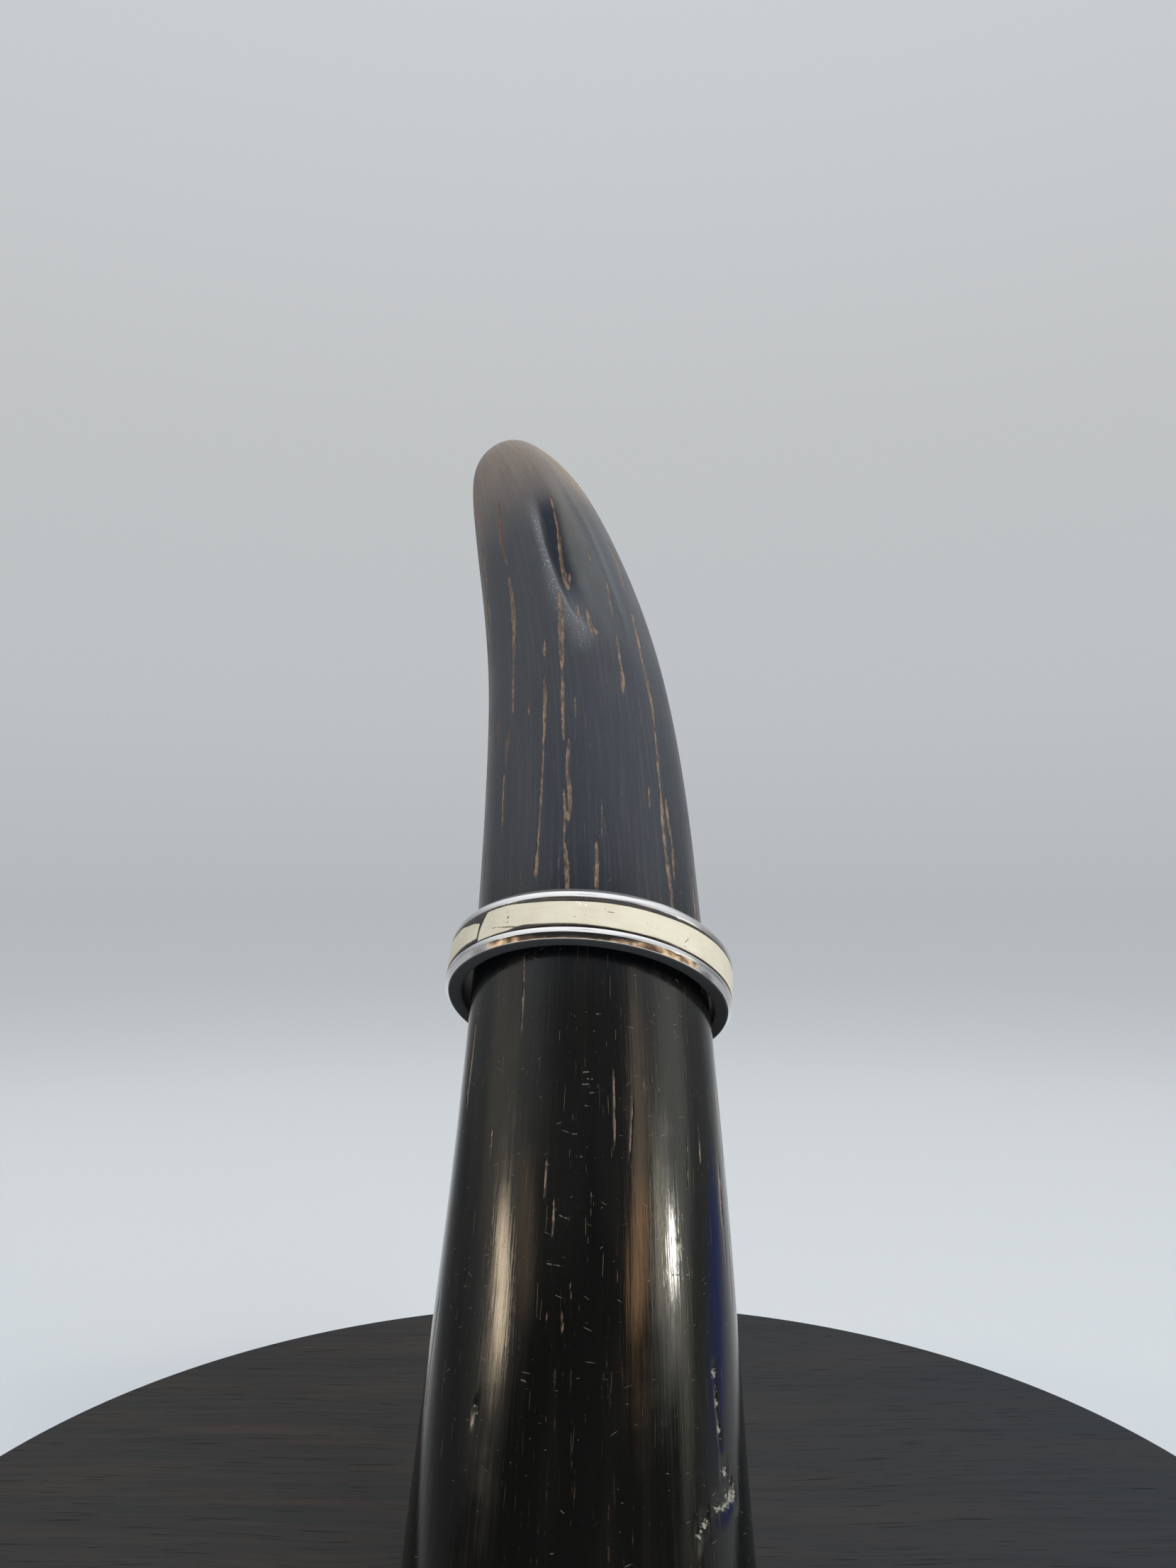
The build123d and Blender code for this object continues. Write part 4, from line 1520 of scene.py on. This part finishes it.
def grey(value, warmth=0.0):
    """A grey, warm if the warmth is above 0 and cool if it is below."""
    return (value * (1 + warmth), value, value * (1 - warmth), 1)


def studio_world():
    """Pale backdrop for the camera; for reflections, a bright ceiling and a dark side behind the camera."""
    world = bpy.data.worlds.new("plain_studio")
    world.use_nodes = True
    bpy.context.scene.world = world
    nodes = Nodes(world.node_tree)
    direction = nodes.add("ShaderNodeTexCoord", (), (), "Generated")
    side, depth, height = nodes.split(direction)
    shown = nodes.ramp(height, BACKDROP)

    # The mirrored room: pale behind the object, dark around the viewer
    room = nodes.ramp(height, [(level, value * 0.98, value, value * 1.02) for level, value in ROOM])
    room = nodes.mix(nodes.spread(height, 0.62, 0.85), room, grey(1.25))
    front = depth * -1
    behind = nodes.spread(depth, 0.55, 0.9)
    room = nodes.mix(behind * nodes.spread(height, 0.35, 0.15), room, grey(0.50))
    room = nodes.mix(behind * nodes.spread(height, -0.04, -0.14), room, grey(0.74, -0.03))
    level = nodes.spread(height, 0.10, -0.02) * nodes.spread(height, -0.26, -0.14)
    room = nodes.mix(nodes.spread(side, -0.3, -0.7) * level * 0.75, room, grey(0.10))
    viewer = nodes.spread(front, 0.30, 0.80) * nodes.spread(height, 0.77, 0.60)
    room = nodes.mix(viewer, room, TONES["dim viewer"])

    # Wood and gold beside the viewer's feet, a pale floor before them
    patches = nodes.noise(direction, 9.0, 3.0, 0.6)
    golden = nodes.mix(nodes.spread(patches, 0.42, 0.60), TONES["brown patch"], TONES["golden patch"])
    low = nodes.spread(height, -0.13, -0.19)
    room = nodes.mix(low * nodes.spread(front, 0.1, 0.3), room, golden)
    room = nodes.mix(nodes.spread(height, -0.46, -0.52) * nodes.spread(front, 0.1, 0.3), room, grey(0.85))

    # Between two slanted lines everything is dark in front
    shade = nodes.spread(height - front * 0.55, 0.02, -0.13) * nodes.spread(front, -0.05, 0.25)
    above_floor = nodes.spread(height + front * 0.22, -0.15, -0.05)
    room = nodes.mix(shade * above_floor, room, TONES["shade"])

    def along(axis):
        """How far the direction reaches along an axis."""
        return nodes.vector("DOT_PRODUCT", direction, tuple(axis), "Value")

    def spot(azimuth, rise, wide, tall):
        """A soft round glow, 1 in its middle."""
        aim = heading(azimuth, rise)
        level = aim.cross(Vector((0, 0, 1))).normalized()
        plumb = level.cross(aim)
        sideways = along(level) / math.sin(math.radians(wide))
        upward = along(plumb) / math.sin(math.radians(tall))
        facing = nodes.spread(along(aim), 0.2, 0.5)
        return nodes.spread(sideways * sideways + upward * upward, 1.0, 0.1) * facing

    for place, strength, colour in SPOTS:
        room = nodes.mix(spot(*place) * strength, room, (*colour, 1))

    # The glows end at a dark slanted edge on each side
    right_edge = nodes.spread(height + side * 0.45, 0.57, 0.53) * nodes.spread(side, 0.99, 0.92)
    left_edge = nodes.spread(height - side * 0.30, 0.47, 0.42) * nodes.spread(side, -0.96, -0.90) * 0.7
    edge = nodes.spread(side, -0.1, 0.1, left_edge, right_edge) * nodes.spread(height, -0.02, 0.06)
    room = nodes.mix(edge * nodes.spread(front, 0.0, 0.3), room, grey(0.05))

    from_camera = nodes.add("ShaderNodeLightPath", (), (), "Is Camera Ray")
    background = nodes.add("ShaderNodeBackground", (), {"Color": nodes.mix(from_camera, room, shown)})
    nodes.add("ShaderNodeOutputWorld", (), {"Surface": background})


def floor_material(colour):
    """Matt pale floor that fades into the backdrop far from the object."""
    material, nodes = new_material("pale_floor")
    distance = nodes.vector("LENGTH", nodes.own_place(), output="Value")
    matt = nodes.add("ShaderNodeBsdfDiffuse", (), {"Color": colour, "Roughness": 0.5})
    clear = nodes.add("ShaderNodeBsdfTransparent")
    blend = nodes.add(
        "ShaderNodeMixShader", (), {0: nodes.spread(distance, 0.22, 0.55), 1: matt, 2: clear}
    )
    nodes.add("ShaderNodeOutputMaterial", (), {"Surface": blend})
    return material


class RING_OT_studio(bpy.types.Operator):
    """Set up the pale floor, the soft light and the camera"""

    bl_idname = "inlay_ring.studio"
    bl_label = "Studio"

    def execute(self, context):
        settings = context.scene.studio_settings
        scene = context.scene
        scene.view_settings.view_transform = "Standard"
        mesh = revolved_mesh("pale_floor", [(0, 0), (0.3, 0), (0.7, 0)], 96)
        mesh.materials.append(floor_material(settings.floor))
        floor = bpy.data.objects.new("pale_floor", mesh)
        floor.visible_glossy = False
        scene.collection.objects.link(floor)

        studio_world()
        aim = Vector((0, -25 * MM, 42 * MM))
        for name, azimuth, rise, size, power, colour in (
            ("warm_lamp", -69, 13.8, (0.17, 0.055), settings.warm_power, (1, 0.80, 0.56)),
            ("white_lamp", 70, 12.7, (0.032, 0.045), settings.white_power, (1, 0.96, 0.86)),
        ):
            add_lamp(name, aim + heading(azimuth, rise) * LAMP_DISTANCE, aim, size, power, colour)
        fill_place = Vector((0.30, -0.48, 0.5))
        white = (1, 0.98, 0.95)
        add_lamp("soft_fill", fill_place, aim, (0.4, 0.4), settings.fill_power, white, mirrored=False)

        camera_data = bpy.data.cameras.new("viewer")
        camera_data.sensor_width = 36
        camera_data.lens = settings.lens
        camera_data.clip_start = 0.005
        camera_data.clip_end = 50
        camera = bpy.data.objects.new("viewer", camera_data)
        camera.location = settings.camera_place
        camera.rotation_euler = (math.pi / 2 + settings.camera_rise, 0, 0)
        scene.collection.objects.link(camera)
        scene.camera = camera
        return {"FINISHED"}


class RING_PT_panel(bpy.types.Panel):
    """Builds the ring, its stand and its studio"""

    bl_label = "Inlay ring"
    bl_idname = "RING_PT_panel"
    bl_space_type = "VIEW_3D"
    bl_region_type = "UI"
    bl_category = "Inlay ring"

    def draw(self, context):
        scene = context.scene
        for operator in OPERATORS:
            self.layout.operator(operator.bl_idname)
        for name, kind in GROUPS.items():
            box = self.layout.box()
            box.label(text=kind.__doc__)
            for field in kind.__annotations__:
                box.prop(getattr(scene, name), field)


OPERATORS = (RING_OT_band, RING_OT_resin, RING_OT_bones, RING_OT_horn, RING_OT_base, RING_OT_studio)
GROUPS = {
    "ring_sizes": RingSizes,
    "inlay_sizes": InlaySizes,
    "horn_sizes": HornSizes,
    "base_sizes": BaseSizes,
    "finish_colours": FinishColours,
    "studio_settings": StudioSettings,
}


def register():
    for kind in (*GROUPS.values(), *OPERATORS, RING_PT_panel):
        bpy.utils.register_class(kind)
    for name, kind in GROUPS.items():
        setattr(bpy.types.Scene, name, PointerProperty(type=kind))


def unregister():
    for name in GROUPS:
        delattr(bpy.types.Scene, name)
    for kind in reversed((*GROUPS.values(), *OPERATORS, RING_PT_panel)):
        bpy.utils.unregister_class(kind)


def main():
    register()
    bpy.ops.inlay_ring.band()
    bpy.ops.inlay_ring.resin()
    bpy.ops.inlay_ring.bones()
    bpy.ops.inlay_ring.horn()
    bpy.ops.inlay_ring.base()
    bpy.ops.inlay_ring.studio()


if __name__ == "__main__":
    main()
